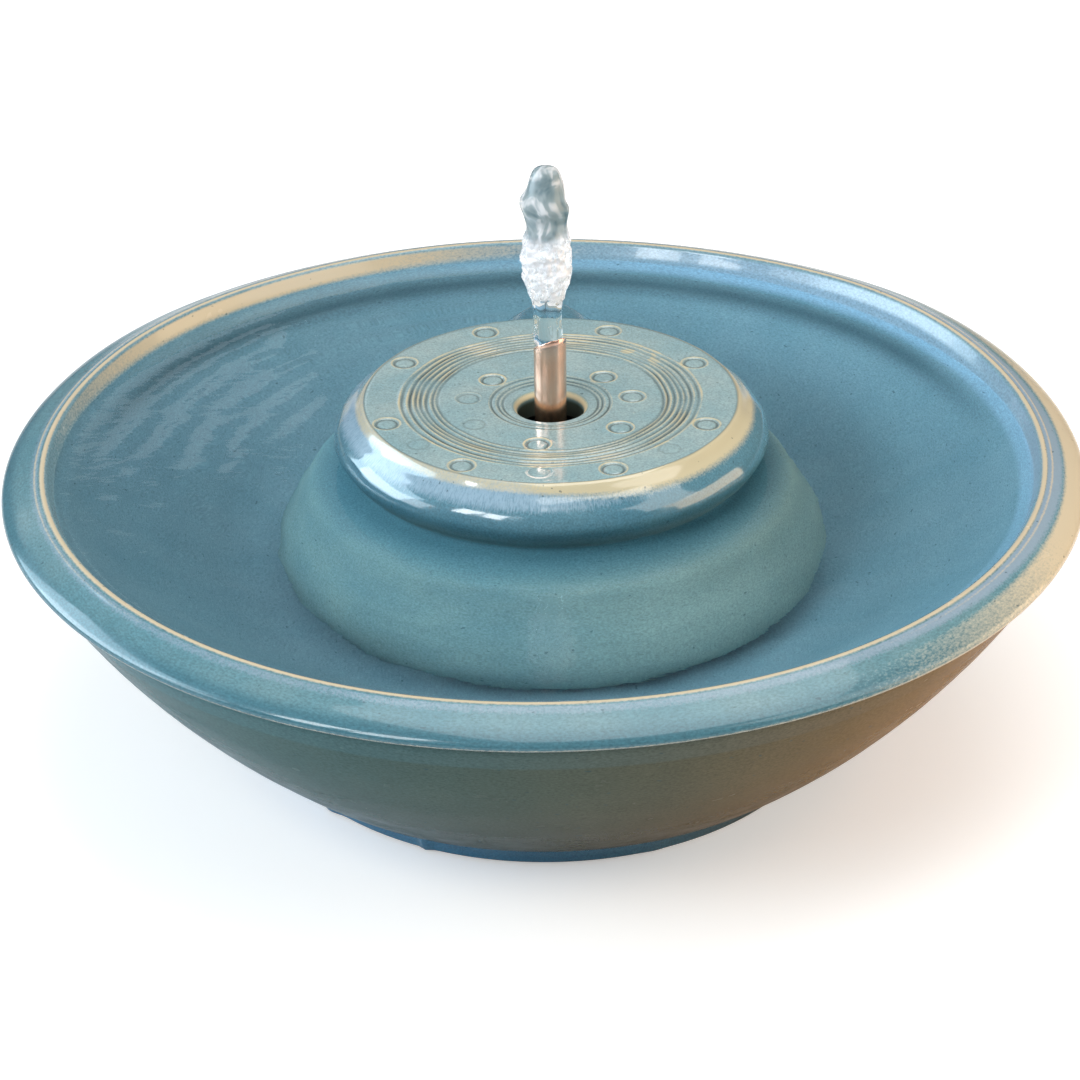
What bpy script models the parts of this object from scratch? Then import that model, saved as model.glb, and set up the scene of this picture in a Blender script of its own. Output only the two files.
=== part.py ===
"""Ceramic tabletop fountain with its submersible pump, as separate parts.

Metres, +Z up. The origin is on the bowl's axis at table level, and -Y is the front.
The pump stands on the bowl floor under the pump cover, with its motor axis along Y.
"""

import math

import bmesh
import bpy
from mathutils import Matrix, Vector

MM = 0.001
GAP = 0.3  # clearance between neighbouring pieces, mm

# Bowl, mm
RIM_R = 160.35
LIP_R = 148.15
LIP_Z = 93.3
FOOT_R = 88.0
FLOOR_Z = 16.0
SIDE_FOOT = (98.5, 11.8)
SIDE_BEND = (135.0, 43.0)  # where straight lines along the flare's two ends would meet
SIDE_TOP = (155.8, 82.0)

# Pump cover, mm: the hand-thrown cover sits 1 mm right of the bowl's axis,
# and its hole is 7 mm in front of its middle.
COVER_X = 1.0
COVER_BASE_Z = FLOOR_Z + GAP
DISC_Z = 107.3
HOLE_R = 9.7

# Outlet: the nozzle, sleeve, copper spout and jet share this vertical axis, mm
SPOUT_X = 1.0
SPOUT_Y = -7.0
SPOUT_OUTER_R = 4.7625  # 3/8 inch tube
SPOUT_BORE_R = 3.95
SPOUT_BOTTOM_Z = 82.5
SPOUT_TOP_Z = 127.8
SPOUT_CUT_SLOPE = (0.33, -0.52)
NOZZLE_R = 4.75
NOZZLE_TOP_Z = 81.0
SLEEVE_BORE_R = 5.06
SLEEVE_R = 6.5
JET_TOP_Z = 182.6

# Pump, mm
PUMP_X = 1.0
AXIS_Z = 46.0
BODY_HALF_X = 21.5
BODY_Z = (22.0, 64.0)
BODY_BACK_Y = 36.0
WALL = 2.0
WELL_BORE_R = 8.2
WELL_R = 9.5
SHAFT_R = 1.0
RUNNING = 0.08  # radial running clearance
CHAMBER_R = 13.2
CHAMBER_OUTER_R = 14.7
CORD_R = 1.6
CORD_NOTCH_R = 2.0  # the groove over the back rim that the cord lies in

COLOURS = {
    "glaze_bowl": ((0.20, 0.33, 0.35), 0.18, 0.0),
    "glaze_cover": ((0.33, 0.52, 0.53), 0.16, 0.0),
    "copper": ((0.80, 0.42, 0.27), 0.22, 1.0),
    "water": ((0.80, 0.90, 0.93), 0.03, 0.0),
    "vinyl": ((0.78, 0.80, 0.78), 0.20, 0.0),
    "housing": ((0.035, 0.036, 0.040), 0.42, 0.0),
    "trim": ((0.06, 0.062, 0.068), 0.38, 0.0),
    "epoxy": ((0.02, 0.02, 0.022), 0.25, 0.0),
    "laminations": ((0.36, 0.36, 0.37), 0.40, 1.0),
    "bobbin": ((0.72, 0.70, 0.62), 0.45, 0.0),
    "enamel_wire": ((0.66, 0.27, 0.10), 0.30, 1.0),
    "magnet": ((0.07, 0.07, 0.075), 0.35, 0.0),
    "impeller": ((0.82, 0.83, 0.82), 0.35, 0.0),
    "steel": ((0.66, 0.67, 0.69), 0.18, 1.0),
    "rubber": ((0.04, 0.04, 0.042), 0.70, 0.0),
    "clear_rubber": ((0.55, 0.60, 0.62), 0.35, 0.0),
    "foam": ((0.05, 0.05, 0.055), 0.95, 0.0),
    "cord": ((0.025, 0.025, 0.028), 0.50, 0.0),
    "insulator": ((0.75, 0.60, 0.12), 0.45, 0.0),
}


# ---------------------------------------------------------------- helpers

def clear_scene():
    for obj in list(bpy.data.objects):
        bpy.data.objects.remove(obj, do_unlink=True)


def make_material(name):
    colour, roughness, metallic = COLOURS[name]
    material = bpy.data.materials.new(name)
    material.use_nodes = True
    shader = material.node_tree.nodes["Principled BSDF"]
    shader.inputs["Base Color"].default_value = (*colour, 1.0)
    shader.inputs["Roughness"].default_value = roughness
    shader.inputs["Metallic"].default_value = metallic
    return material


def add_object(name, bm, colour, location=(0, 0, 0), rotation=(0, 0, 0), sharp_deg=35):
    """A mesh object from a bmesh in millimetres, placed in millimetres."""
    bmesh.ops.scale(bm, vec=(MM, MM, MM), verts=bm.verts)
    bmesh.ops.recalc_face_normals(bm, faces=bm.faces)
    for face in bm.faces:
        face.smooth = True
    for edge in bm.edges:
        if len(edge.link_faces) == 2:
            edge.smooth = edge.calc_face_angle(0.0) < math.radians(sharp_deg)
    mesh = bpy.data.meshes.new(name)
    bm.to_mesh(mesh)
    bm.free()
    obj = bpy.data.objects.new(name, mesh)
    bpy.context.scene.collection.objects.link(obj)
    obj.location = [value * MM for value in location]
    obj.rotation_euler = rotation
    if colour:
        if colour not in bpy.data.materials:
            make_material(colour)
        mesh.materials.append(bpy.data.materials[colour])
    return obj


def lathe_mesh(profile, segments):
    """A closed solid of revolution about Z. The profile is a closed loop of (radius, z)."""
    bm = bmesh.new()
    rings = []
    for radius, z in profile:
        if radius < 1e-6:
            rings.append([bm.verts.new((0.0, 0.0, z))])
            continue
        ring = []
        for step in range(segments):
            angle = 2 * math.pi * step / segments
            ring.append(bm.verts.new((radius * math.cos(angle), radius * math.sin(angle), z)))
        rings.append(ring)
    pairs = list(zip(rings, rings[1:] + rings[:1]))
    for first, second in pairs:
        if len(first) == 1 and len(second) == 1:
            continue
        for step in range(segments):
            after = (step + 1) % segments
            corners = [first[step % len(first)], first[after % len(first)],
                       second[after % len(second)], second[step % len(second)]]
            corners = list(dict.fromkeys(corners))
            bm.faces.new(corners)
    return bm


def lathe(name, profile, colour, segments=48, location=(0, 0, 0), along_y=False, sharp_deg=35):
    """A turned piece. With along_y its axis points along +Y."""
    rotation = (-math.pi / 2, 0, 0) if along_y else (0, 0, 0)
    return add_object(name, lathe_mesh(profile, segments), colour, location, rotation, sharp_deg)


def ring_profile(inner, outer, low, high):
    return [(inner, low), (outer, low), (outer, high), (inner, high)]


def rod_profile(radius, low, high):
    return [(0, low), (radius, low), (radius, high), (0, high)]


def box(name, low, high, colour=None, bevel=0.0, bevel_steps=2):
    """A box between two corners, in mm, with all its edges rounded by bevel."""
    bm = bmesh.new()
    bmesh.ops.create_cube(bm, size=1.0)
    size = [high[i] - low[i] for i in range(3)]
    middle = [(high[i] + low[i]) / 2 for i in range(3)]
    bmesh.ops.scale(bm, vec=size, verts=bm.verts)
    if bevel > 0:
        bmesh.ops.bevel(bm, geom=list(bm.edges), offset=bevel, segments=bevel_steps,
                        profile=0.5, affect="EDGES")
    return add_object(name, bm, colour, middle)


def prism(name, outline, low, high, colour=None):
    """An upright prism over a plan outline of (x, y), from z low to z high."""
    bm = bmesh.new()
    bottom = [bm.verts.new((x, y, low)) for x, y in outline]
    top = [bm.verts.new((x, y, high)) for x, y in outline]
    bm.faces.new(list(reversed(bottom)))
    bm.faces.new(top)
    count = len(outline)
    for i in range(count):
        after = (i + 1) % count
        bm.faces.new([bottom[i], bottom[after], top[after], top[i]])
    return add_object(name, bm, colour)


def hide(cutter):
    cutter.hide_render = True
    cutter.display_type = "WIRE"


def boolean(target, tool, operation):
    modifier = target.modifiers.new(f"{operation.lower()} {tool.name}", "BOOLEAN")
    modifier.operation = operation
    modifier.solver = "EXACT"
    modifier.object = tool
    hide(tool)


def cut(target, *tools):
    for tool in tools:
        boolean(target, tool, "DIFFERENCE")


def join(target, *tools):
    for tool in tools:
        boolean(target, tool, "UNION")


def smooth_path(points, steps):
    """Points along a Catmull-Rom curve through the given ones."""
    points = [Vector(p) for p in points]
    padded = [2 * points[0] - points[1]] + points + [2 * points[-1] - points[-2]]
    path = []
    for i in range(1, len(padded) - 2):
        before, start, end, after = padded[i - 1:i + 3]
        for step in range(steps):
            t = step / steps
            path.append(0.5 * ((2 * start) + (end - before) * t
                               + (2 * before - 5 * start + 4 * end - after) * t * t
                               + (3 * start - before - 3 * end + after) * t ** 3))
    path.append(points[-1])
    return path


def sweep(name, path, radius, colour, sides=12):
    """A round bar along a path, with flat ends."""
    bm = bmesh.new()
    rings = []
    normal = Vector((1, 0, 0))
    for i, point in enumerate(path):
        ahead = path[min(i + 1, len(path) - 1)] - path[max(i - 1, 0)]
        ahead.normalize()
        normal = (normal - ahead * normal.dot(ahead)).normalized()
        across = ahead.cross(normal)
        ring = []
        for side in range(sides):
            angle = 2 * math.pi * side / sides
            offset = normal * math.cos(angle) + across * math.sin(angle)
            ring.append(bm.verts.new(point + offset * radius))
        rings.append(ring)
    for first, second in zip(rings, rings[1:]):
        for side in range(sides):
            after = (side + 1) % sides
            bm.faces.new([first[side], first[after], second[after], second[side]])
    bm.faces.new(list(reversed(rings[0])))
    bm.faces.new(rings[-1])
    return add_object(name, bm, colour)


# ---------------------------------------------------------------- ceramics

def flare(start, bend, end, steps):
    """Points along one quadratic curve that leaves start and reaches end in bend's direction."""
    points = []
    for step in range(steps + 1):
        t = step / steps
        weights = ((1 - t) ** 2, 2 * t * (1 - t), t * t)
        radius = sum(w * p[0] for w, p in zip(weights, (start, bend, end)))
        height = sum(w * p[1] for w, p in zip(weights, (start, bend, end)))
        points.append((radius, height))
    return points


def build_bowl():
    under = [(0, 6.5), (70, 6.5), (76.5, 6.0), (79, 3.0), (79.6, 0.8), (80.4, 0)]
    foot = [(87.2, 0), (FOOT_R, 0.8), (88.6, 3.4), (90.6, 7.2), (94.4, 10.2)]
    side = flare(SIDE_FOOT, SIDE_BEND, SIDE_TOP, 9)
    rim = [(156.65, 85.3), (159.15, 85.6), (RIM_R, 87.0), (159.75, 88.4), (157.35, 89.9),
           (153.55, 91.4), (150.05, 92.8), (LIP_R, LIP_Z), (146.95, 92.9)]
    inside = [(146.0, 91.0), (144.0, 87.4), (141.4, 83.4), (138.6, 78.0), (132.8, 68.0), (123.6, 53.8),
              (113.2, 40.0), (103.4, 28.6), (96.0, 21.6), (89.5, 17.6), (82.0, FLOOR_Z),
              (0, FLOOR_Z)]
    bowl = lathe("bowl", under + foot + side + rim + inside, "glaze_bowl", segments=48)
    crossing = smooth_path(rim_crossing(), 2)
    cord_notch = sweep("tool_rim_notch", crossing, CORD_NOTCH_R, None, sides=10)
    cut(bowl, cord_notch)
    return bowl


def build_pump_cover():
    outside = [(66.4, COVER_BASE_Z), (71.6, COVER_BASE_Z), (75.5, 17.6), (79.3, 21), (81.8, 26),
               (82.9, 32), (82.6, 38), (81.4, 44), (79.4, 51), (77.2, 57), (75.4, 63),
               (73.9, 69), (72.0, 75), (68.8, 80), (64.2, 83.2), (60.6, 85.2), (59.4, 87.2),
               (60.4, 89.4), (62.9, 92.0), (65.0, 96.0), (63.8, 99.8), (60.8, 102.8),
               (58.5, 104.7), (56.3, 107.0), (55.7, DISC_Z)]
    inside = [(0, DISC_Z), (0, 99.6), (38.0, 99.2), (48.0, 97.6), (53.0, 94.8), (54.6, 91.0),
              (53.4, 87.6), (55.0, 84.0), (60.4, 79.6), (64.6, 75.0), (66.8, 69.0),
              (68.8, 62.0), (71.4, 55.0), (74.0, 48.0), (75.8, 41.0), (76.2, 34.0),
              (74.8, 28.0), (70.4, 22.6)]
    cover = lathe("pump_cover", outside + inside, "glaze_cover", segments=44,
                  location=(COVER_X, 0, 0))
    lip_outline = [(-17.2, 56.0), (-16.6, 58.0), (-12.0, 69.0), (-5.6, 82.0), (-1.6, 87.6),
                   (1.6, 87.6), (5.6, 82.0), (12.0, 69.0), (16.6, 58.0), (17.2, 56.0)]
    lip = prism("tool_back_lip", [(x + COVER_X, y) for x, y in lip_outline], 95.2, 101.4)
    join(cover, lip)
    hole = lathe("tool_spout_hole", [(0, 90), (HOLE_R, 90), (HOLE_R, DISC_Z - 2.4),
                                     (HOLE_R + 0.5, DISC_Z - 1.0), (HOLE_R + 1.6, DISC_Z + 0.2),
                                     (HOLE_R + 1.6, 112), (0, 112)],
                 None, 32, (SPOUT_X, SPOUT_Y, 0))
    arch = []
    for step in range(13):
        angle = math.pi * step / 12
        arch.append((7.0 * math.cos(angle), 24.0 + 7.0 * math.sin(angle)))
    notch = bmesh.new()
    section = [(7.0, 10.0)] + arch + [(-7.0, 10.0)]
    front = [notch.verts.new((x, 55.0, z)) for x, z in section]
    back = [notch.verts.new((x, 95.0, z)) for x, z in section]
    notch.faces.new(front)
    notch.faces.new(list(reversed(back)))
    for i in range(len(section)):
        after = (i + 1) % len(section)
        notch.faces.new([front[i], back[i], back[after], front[after]])
    mouse_hole = add_object("tool_mouse_hole", notch, None, (COVER_X, 0, 0))
    cut(cover, hole, mouse_hole)
    return cover


# ---------------------------------------------------------------- outlet

def build_copper_spout():
    """A tube whose top is cut off at a slant."""
    segments = 32
    bm = bmesh.new()
    rings = []
    for radius, at_top in ((SPOUT_BORE_R, False), (SPOUT_OUTER_R, False),
                           (SPOUT_OUTER_R, True), (SPOUT_BORE_R, True)):
        ring = []
        for step in range(segments):
            angle = 2 * math.pi * step / segments
            x = radius * math.cos(angle)
            y = radius * math.sin(angle)
            z = SPOUT_BOTTOM_Z
            if at_top:
                z = SPOUT_TOP_Z + SPOUT_CUT_SLOPE[0] * x + SPOUT_CUT_SLOPE[1] * y
            ring.append(bm.verts.new((x, y, z)))
        rings.append(ring)
    for first, second in zip(rings, rings[1:] + rings[:1]):
        for step in range(segments):
            after = (step + 1) % segments
            bm.faces.new([first[step], first[after], second[after], second[step]])
    return add_object("copper_spout", bm, "copper", (SPOUT_X, SPOUT_Y, 0))


def build_outlet_sleeve():
    profile = [(SLEEVE_BORE_R, 68.6), (SLEEVE_R - 0.3, 68.6), (SLEEVE_R, 68.9),
               (SLEEVE_R, 94.7), (SLEEVE_R - 0.3, 95.0), (SLEEVE_BORE_R, 95.0)]
    return lathe("outlet_sleeve", profile, "vinyl", 28, (SPOUT_X, SPOUT_Y, 0))


def build_water_jet():
    """The standing water plume, a lumpy column that starts inside the spout."""
    outline = [(0.0, 118.0), (3.6, 118.0), (3.6, 131.5), (4.5, 133.2), (4.7, 137.0),
               (4.8, 141.0), (5.8, 144.0), (7.0, 148.0), (7.3, 154.0), (7.2, 160.0),
               (6.6, 164.0), (6.9, 168.0), (7.2, 171.5), (6.2, 175.0), (5.4, 178.0),
               (4.0, 181.0), (2.2, JET_TOP_Z - 0.3), (0.0, JET_TOP_Z)]
    bm = lathe_mesh(outline, 16)
    for vertex in bm.verts:
        if vertex.co.z > 134.0:
            angle = math.atan2(vertex.co.y, vertex.co.x)
            lump = 1.0 + 0.05 * math.sin(3 * angle + 0.35 * vertex.co.z)
            vertex.co.x *= lump
            vertex.co.y *= lump
    return add_object("water_jet", bm, "water", (SPOUT_X, SPOUT_Y, 0), sharp_deg=80)


# ---------------------------------------------------------------- pump

def build_pump_housing():
    low_x = PUMP_X - BODY_HALF_X
    high_x = PUMP_X + BODY_HALF_X
    housing = box("pump_housing", (low_x, 0, BODY_Z[0]), (high_x, BODY_BACK_Y, BODY_Z[1]),
                  "housing", bevel=3.0, bevel_steps=3)
    cavity = box("tool_stator_cavity", (low_x + WALL, WALL + 0.6, BODY_Z[0] + 3.0),
                 (high_x - WALL, BODY_BACK_Y + 8, BODY_Z[1] - WALL), None, bevel=1.2)
    well = lathe("tool_rotor_well", rod_profile(WELL_R, 1.0, 27.6), None, 36,
                 (PUMP_X, 0, AXIS_Z), along_y=True)
    bore = lathe("tool_rotor_bore",
                 [(0, -2), (WELL_BORE_R, -2), (WELL_BORE_R, 23.6), (3.5, 23.6), (3.5, 26.2),
                  (0, 26.2)], None, 36, (PUMP_X, 0, AXIS_Z), along_y=True)
    seal_groove = lathe("tool_seal_groove", ring_profile(14.6, 16.6, -2, 1.4), None, 36,
                        (PUMP_X, 0, AXIS_Z), along_y=True)
    cut(housing, cavity)
    join(housing, well)
    cut(housing, bore, seal_groove)
    for index, (x, y) in enumerate(cup_places()):
        socket = lathe(f"tool_cup_socket_{index + 1}", rod_profile(2.3, 20, 24), None, 16,
                       (x, y, 0))
        cut(housing, socket)
    for side in (-1, 1):
        for index in range(5):
            y = 10.0 + 5.2 * index
            x = PUMP_X + side * BODY_HALF_X
            groove = box(f"tool_rib_{'r' if side > 0 else 'l'}{index + 1}",
                         (x - 0.7, y - 0.9, 30), (x + 0.7, y + 0.9, 56))
            cut(housing, groove)
    return housing


def cup_places():
    return [(PUMP_X + x, y) for x in (-14.5, 14.5) for y in (6.0, 30.0)]


def build_suction_cups():
    profile = [(0, 18.0), (2.6, 17.4), (5.4, 16.5), (6.6, COVER_BASE_Z), (6.8, 16.8),
               (5.4, 18.2), (3.2, 19.4), (2.4, 20.4), (2.9, 21.2), (2.9, 21.7), (1.9, 21.7),
               (1.9, 23.6), (0, 23.6)]
    for index, (x, y) in enumerate(cup_places()):
        lathe(f"suction_cup_{index + 1}", profile, "clear_rubber", 16, (x, y, 0))


def build_stator():
    """A U-shaped stack of laminations round the rotor well, with one coil on its yoke."""
    core = box("stator_core", (PUMP_X - 16.5, 8, 28.6), (PUMP_X + 16.5, 18, 56), "laminations")
    window = box("tool_core_window", (PUMP_X - 11, 0, 32.9), (PUMP_X + 11, 30, 60))
    poles = box("tool_core_poles", (PUMP_X - 12, 8, 39), (PUMP_X + 12, 18, 53))
    round_gap = lathe("tool_core_gap", rod_profile(WELL_R + GAP, 4, 24), None, 48,
                      (PUMP_X, 0, AXIS_Z), along_y=True)
    pole_split = box("tool_pole_split", (PUMP_X - 6.4, 4, 36), (PUMP_X + 6.4, 24, 58))
    cut(core, window)
    join(core, poles)
    cut(core, round_gap, pole_split)

    bobbin = box("coil_bobbin", (PUMP_X - 10.6, 4.6, 25.4), (PUMP_X + 10.6, 21.4, 36.1), "bobbin")
    yoke_hole = box("tool_yoke_hole", (PUMP_X - 14, 7.7, 28.3), (PUMP_X + 14, 18.3, 33.2))
    winding_space = box("tool_winding_space", (PUMP_X - 9.7, 0, 20), (PUMP_X + 9.7, 30, 40))
    spool = box("tool_spool", (PUMP_X - 12, 6.9, 27.5), (PUMP_X + 12, 19.1, 34.0))
    cut(winding_space, spool)
    cut(bobbin, winding_space, yoke_hole)

    winding = box("coil_winding", (PUMP_X - 9.4, 4.9, 25.7), (PUMP_X + 9.4, 21.1, 35.8),
                  "enamel_wire", bevel=0.7)
    winding_hole = box("tool_winding_hole", (PUMP_X - 14, 6.6, 27.2), (PUMP_X + 14, 19.4, 34.3))
    cut(winding, winding_hole)


def build_rotor():
    magnet_profile = [(2.9, 7.4), (7.0, 7.4), (7.4, 7.8), (7.4, 22.0), (7.0, 22.4), (2.9, 22.4)]
    lathe("rotor_magnet", magnet_profile, "magnet", 32, (PUMP_X, 0, AXIS_Z), along_y=True)
    bore = SHAFT_R + RUNNING
    hub = [(bore, -11.0), (2.2, -11.0), (2.6, -10.6), (2.6, -3.4), (11.0, -3.4), (11.0, -2.0),
           (5.6, -2.0), (5.6, 7.0), (2.6, 7.0), (2.6, 22.8), (bore, 22.8)]
    impeller = lathe("impeller", hub, "impeller", 32, (PUMP_X, 0, AXIS_Z), along_y=True)
    for index in range(6):
        angle = 2 * math.pi * index / 6
        blade = box(f"tool_blade_{index + 1}", (2.2, -10.4, -0.6), (10.8, -2.8, 0.6))
        blade.data.transform(Matrix.Translation((6.5 * MM, -6.6 * MM, 0)))
        blade.location = (PUMP_X * MM, 0, AXIS_Z * MM)
        blade.rotation_euler = (0, angle, 0)
        join(impeller, blade)
    lathe("rotor_shaft", rod_profile(SHAFT_R, -13.6, 25.6), "steel", 24,
          (PUMP_X, 0, AXIS_Z), along_y=True)
    lathe("rear_bushing", ring_profile(SHAFT_R + RUNNING, 3.2, 23.9, 25.9), "rubber", 24,
          (PUMP_X, 0, AXIS_Z), along_y=True)
    lathe("front_bushing", ring_profile(SHAFT_R + RUNNING, 1.9, -14.2, -11.5), "rubber", 24,
          (PUMP_X, 0, AXIS_Z), along_y=True)


def build_volute_cover():
    """The chamber round the impeller: an eye at the front and the outlet nozzle on top."""
    cup = [(0, -GAP), (CHAMBER_OUTER_R, -GAP), (CHAMBER_OUTER_R, -13.6), (14.0, -14.4),
           (0, -14.4)]
    volute = lathe("volute_cover", cup, "trim", 36, (PUMP_X, 0, AXIS_Z), along_y=True)
    flange = box("tool_flange", (PUMP_X - 20.5, -2.3, 25.4), (PUMP_X + 20.5, -GAP - 0.1, 62.4))
    chamber = lathe("tool_chamber", rod_profile(CHAMBER_R, -12.4, 2.0), None, 36,
                    (PUMP_X, 0, AXIS_Z), along_y=True)
    nozzle = lathe("tool_nozzle", rod_profile(NOZZLE_R, 60.8, NOZZLE_TOP_Z), None, 28,
                   (SPOUT_X, SPOUT_Y, 0))
    collar = lathe("tool_nozzle_collar", rod_profile(6.2, 60.4, 67.6), None, 28,
                   (SPOUT_X, SPOUT_Y, 0))
    passage = lathe("tool_passage", rod_profile(3.4, 55.0, NOZZLE_TOP_Z + 4), None, 24,
                    (SPOUT_X, SPOUT_Y, 0))
    join(volute, flange, collar, nozzle)
    cut(volute, chamber, passage)
    for index in range(3):
        angle = 2 * math.pi * index / 3 + math.pi / 6
        window = eye_window(f"tool_eye_{index + 1}", angle)
        cut(volute, window)
    socket = lathe("tool_bushing_socket", rod_profile(2.2, -20, -11), None, 32,
                   (PUMP_X, 0, AXIS_Z), along_y=True)
    cut(volute, socket)
    return volute


def eye_window(name, middle_angle):
    """One of the three openings of the eye, between the hub and the eye's edge."""
    half = math.radians(46)
    outline = []
    for step in range(9):
        angle = middle_angle - half + 2 * half * step / 8
        outline.append((7.6 * math.cos(angle), 7.6 * math.sin(angle)))
    for step in range(9):
        angle = middle_angle + half - 2 * half * step / 8
        outline.append((3.9 * math.cos(angle), 3.9 * math.sin(angle)))
    window = prism(name, outline, -18, -10)
    window.rotation_euler = (-math.pi / 2, 0, 0)
    window.location = (PUMP_X * MM, 0, AXIS_Z * MM)
    return window


def build_chamber_seal():
    profile = []
    for step in range(8):
        angle = 2 * math.pi * step / 8
        profile.append((15.6 + 0.7 * math.cos(angle), 0.55 + 0.7 * math.sin(angle)))
    lathe("chamber_seal", profile, "rubber", 32, (PUMP_X, 0, AXIS_Z), along_y=True)


def build_intake():
    """The strainer over the chamber, a foam block in it and a dial that shuts its window."""
    front = -29.0
    back = -2.9
    cover = box("intake_cover", (PUMP_X - 20.5, front, 23.0), (PUMP_X + 20.5, back, 63.0), "trim",
                bevel=3.0, bevel_steps=3)
    trim_back = box("tool_intake_back", (PUMP_X - 30, back - 3.4, 10), (PUMP_X + 30, 10, 80))
    hollow = box("tool_intake_hollow", (PUMP_X - 18.6, front + 1.9, 24.9),
                 (PUMP_X + 18.6, back + 12, 61.1), None, bevel=1.2)
    nozzle_slot = box("tool_nozzle_slot", (PUMP_X - 7.0, -14.4, 55), (PUMP_X + 7.0, 8, 80))
    cut(cover, trim_back, hollow, nozzle_slot)
    for side in (-1, 1):
        for index in range(3):
            y = -23.6 + 4.6 * index
            x = PUMP_X + side * 19.6
            cut(cover, box(f"tool_side_slot_{'r' if side > 0 else 'l'}{index + 1}",
                           (x - 3, y - 1, 29), (x + 3, y + 1, 57)))
    for index in range(6):
        x = PUMP_X - 15.0 + 6.0 * index
        cut(cover, box(f"tool_front_slot_{index + 1}", (x - 1, front - 3, 27.4),
                       (x + 1, front + 4, 34.4)))
    window = dial_window("tool_front_window", -math.pi / 2, math.pi / 2, front - 4, front + 5)
    peg_hole = lathe("tool_peg_hole", rod_profile(2.0, front - 4, front + 5), None, 32,
                     (PUMP_X, 0, AXIS_Z), along_y=True)
    cut(cover, window, peg_hole)

    foam = box("foam_filter", (PUMP_X - 18.2, -24.6, 25.3), (PUMP_X + 18.2, -14.9, 60.7), "foam")
    foam_hole = lathe("tool_foam_hole", rod_profile(6.0, -30, -10), None, 32,
                      (PUMP_X, 0, AXIS_Z), along_y=True)
    cut(foam, foam_hole)

    dial_profile = [(0, -32.0), (9.4, -32.0), (10.2, -31.2), (10.2, -29.3), (2.0 - RUNNING, -29.3),
                    (2.0 - RUNNING, -26.6), (0, -26.6)]
    dial = lathe("flow_dial", dial_profile, "housing", 32, (PUMP_X, 0, AXIS_Z), along_y=True)
    grip = box("tool_dial_grip", (PUMP_X - 1.2, -34.4, AXIS_Z - 8.6),
               (PUMP_X + 1.2, -31.5, AXIS_Z + 8.6), None, bevel=0.5)
    dial_hole = dial_window("tool_dial_window", -math.pi / 2, math.pi / 2, -34, -28.5)
    join(dial, grip)
    cut(dial, dial_hole)


def dial_window(name, first, last, low, high):
    """A quarter-ring opening beside the peg, cut through along Y."""
    first += math.radians(50)
    last -= math.radians(50)
    outline = []
    for step in range(9):
        angle = first + (last - first) * step / 8
        outline.append((8.4 * math.cos(angle), 8.4 * math.sin(angle)))
    for step in range(9):
        angle = last - (last - first) * step / 8
        outline.append((3.6 * math.cos(angle), 3.6 * math.sin(angle)))
    window = prism(name, outline, low, high)
    window.rotation_euler = (-math.pi / 2, 0, 0)
    window.location = (PUMP_X * MM, 0, AXIS_Z * MM)
    return window


def build_back_plate():
    low_x = PUMP_X - BODY_HALF_X + WALL + GAP
    high_x = PUMP_X + BODY_HALF_X - WALL - GAP
    plate = box("potting_plate", (low_x, 32.6, BODY_Z[0] + 3.3),
                (high_x, 35.6, BODY_Z[1] - WALL - GAP), "epoxy", bevel=0.9)
    hole = lathe("tool_gland_hole", rod_profile(3.8, 28, 40), None, 20,
                 (PUMP_X, 0, AXIS_Z), along_y=True)
    cut(plate, hole)
    profile = [(CORD_R + GAP, 30.4), (5.2, 30.4), (5.2, 32.2), (3.5, 32.2), (3.5, 36.0),
               (4.6, 36.0), (4.6, 39.0), (3.1, 44.0), (CORD_R + GAP, 44.0)]
    lathe("cord_gland", profile, "rubber", 20, (PUMP_X, 0, AXIS_Z), along_y=True)


# ---------------------------------------------------------------- cord and plug

def rim_crossing():
    """Centre line of the cord over the back rim, half sunk into its notch."""
    return [(PUMP_X, 139.6, 84.4), (PUMP_X, 144.0, 90.6), (PUMP_X, 147.6, 93.7),
            (PUMP_X, 151.5, 93.0), (PUMP_X, 155.8, 91.4), (PUMP_X, 159.3, 89.4),
            (PUMP_X, 160.6, 86.4), (PUMP_X, 159.4, 82.6)]


def build_cord():
    """The flexible cord as it lies: out under the cover, up the wall, over the rim."""
    x = PUMP_X
    inside = [(x, 29.0, 46), (x, 36.0, 46), (x, 44.0, 46), (x, 50.0, 44.2), (x, 54.6, 38.4),
              (x, 57.6, 30.0), (x, 62.4, 22.8), (x, 70.0, 19.8), (x, 82.0, 19.2),
              (x, 91.0, 21.2), (x, 99.6, 28.4), (x, 110.4, 41.4), (x, 120.8, 55.0),
              (x, 130.0, 69.0), (x, 134.8, 77.0)]
    outside = [(x, 154.6, 72.0), (x, 145.2, 56.0), (x, 133.8, 39.0), (x - 1.2, 123.6, 24.0),
               (x - 5.4, 118.4, 12.0), (x - 12.6, 117.2, 5.2), (x - 24.0, 117.8, 2.1),
               (x - 38.0, 116.0, 2.1), (x - 50.0, 118.4, 2.1), (x - 54.2, 124.0, 2.4),
               (x - 49.6, 129.4, 3.4), (x - 40.0, 131.2, 5.2), (x - 30.0, 131.0, 6.0),
               (x - 22.0, 131.0, 6.0)]
    path = smooth_path(inside + rim_crossing() + outside, 2)
    return sweep("power_cord", path, CORD_R, "cord", sides=7)


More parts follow.
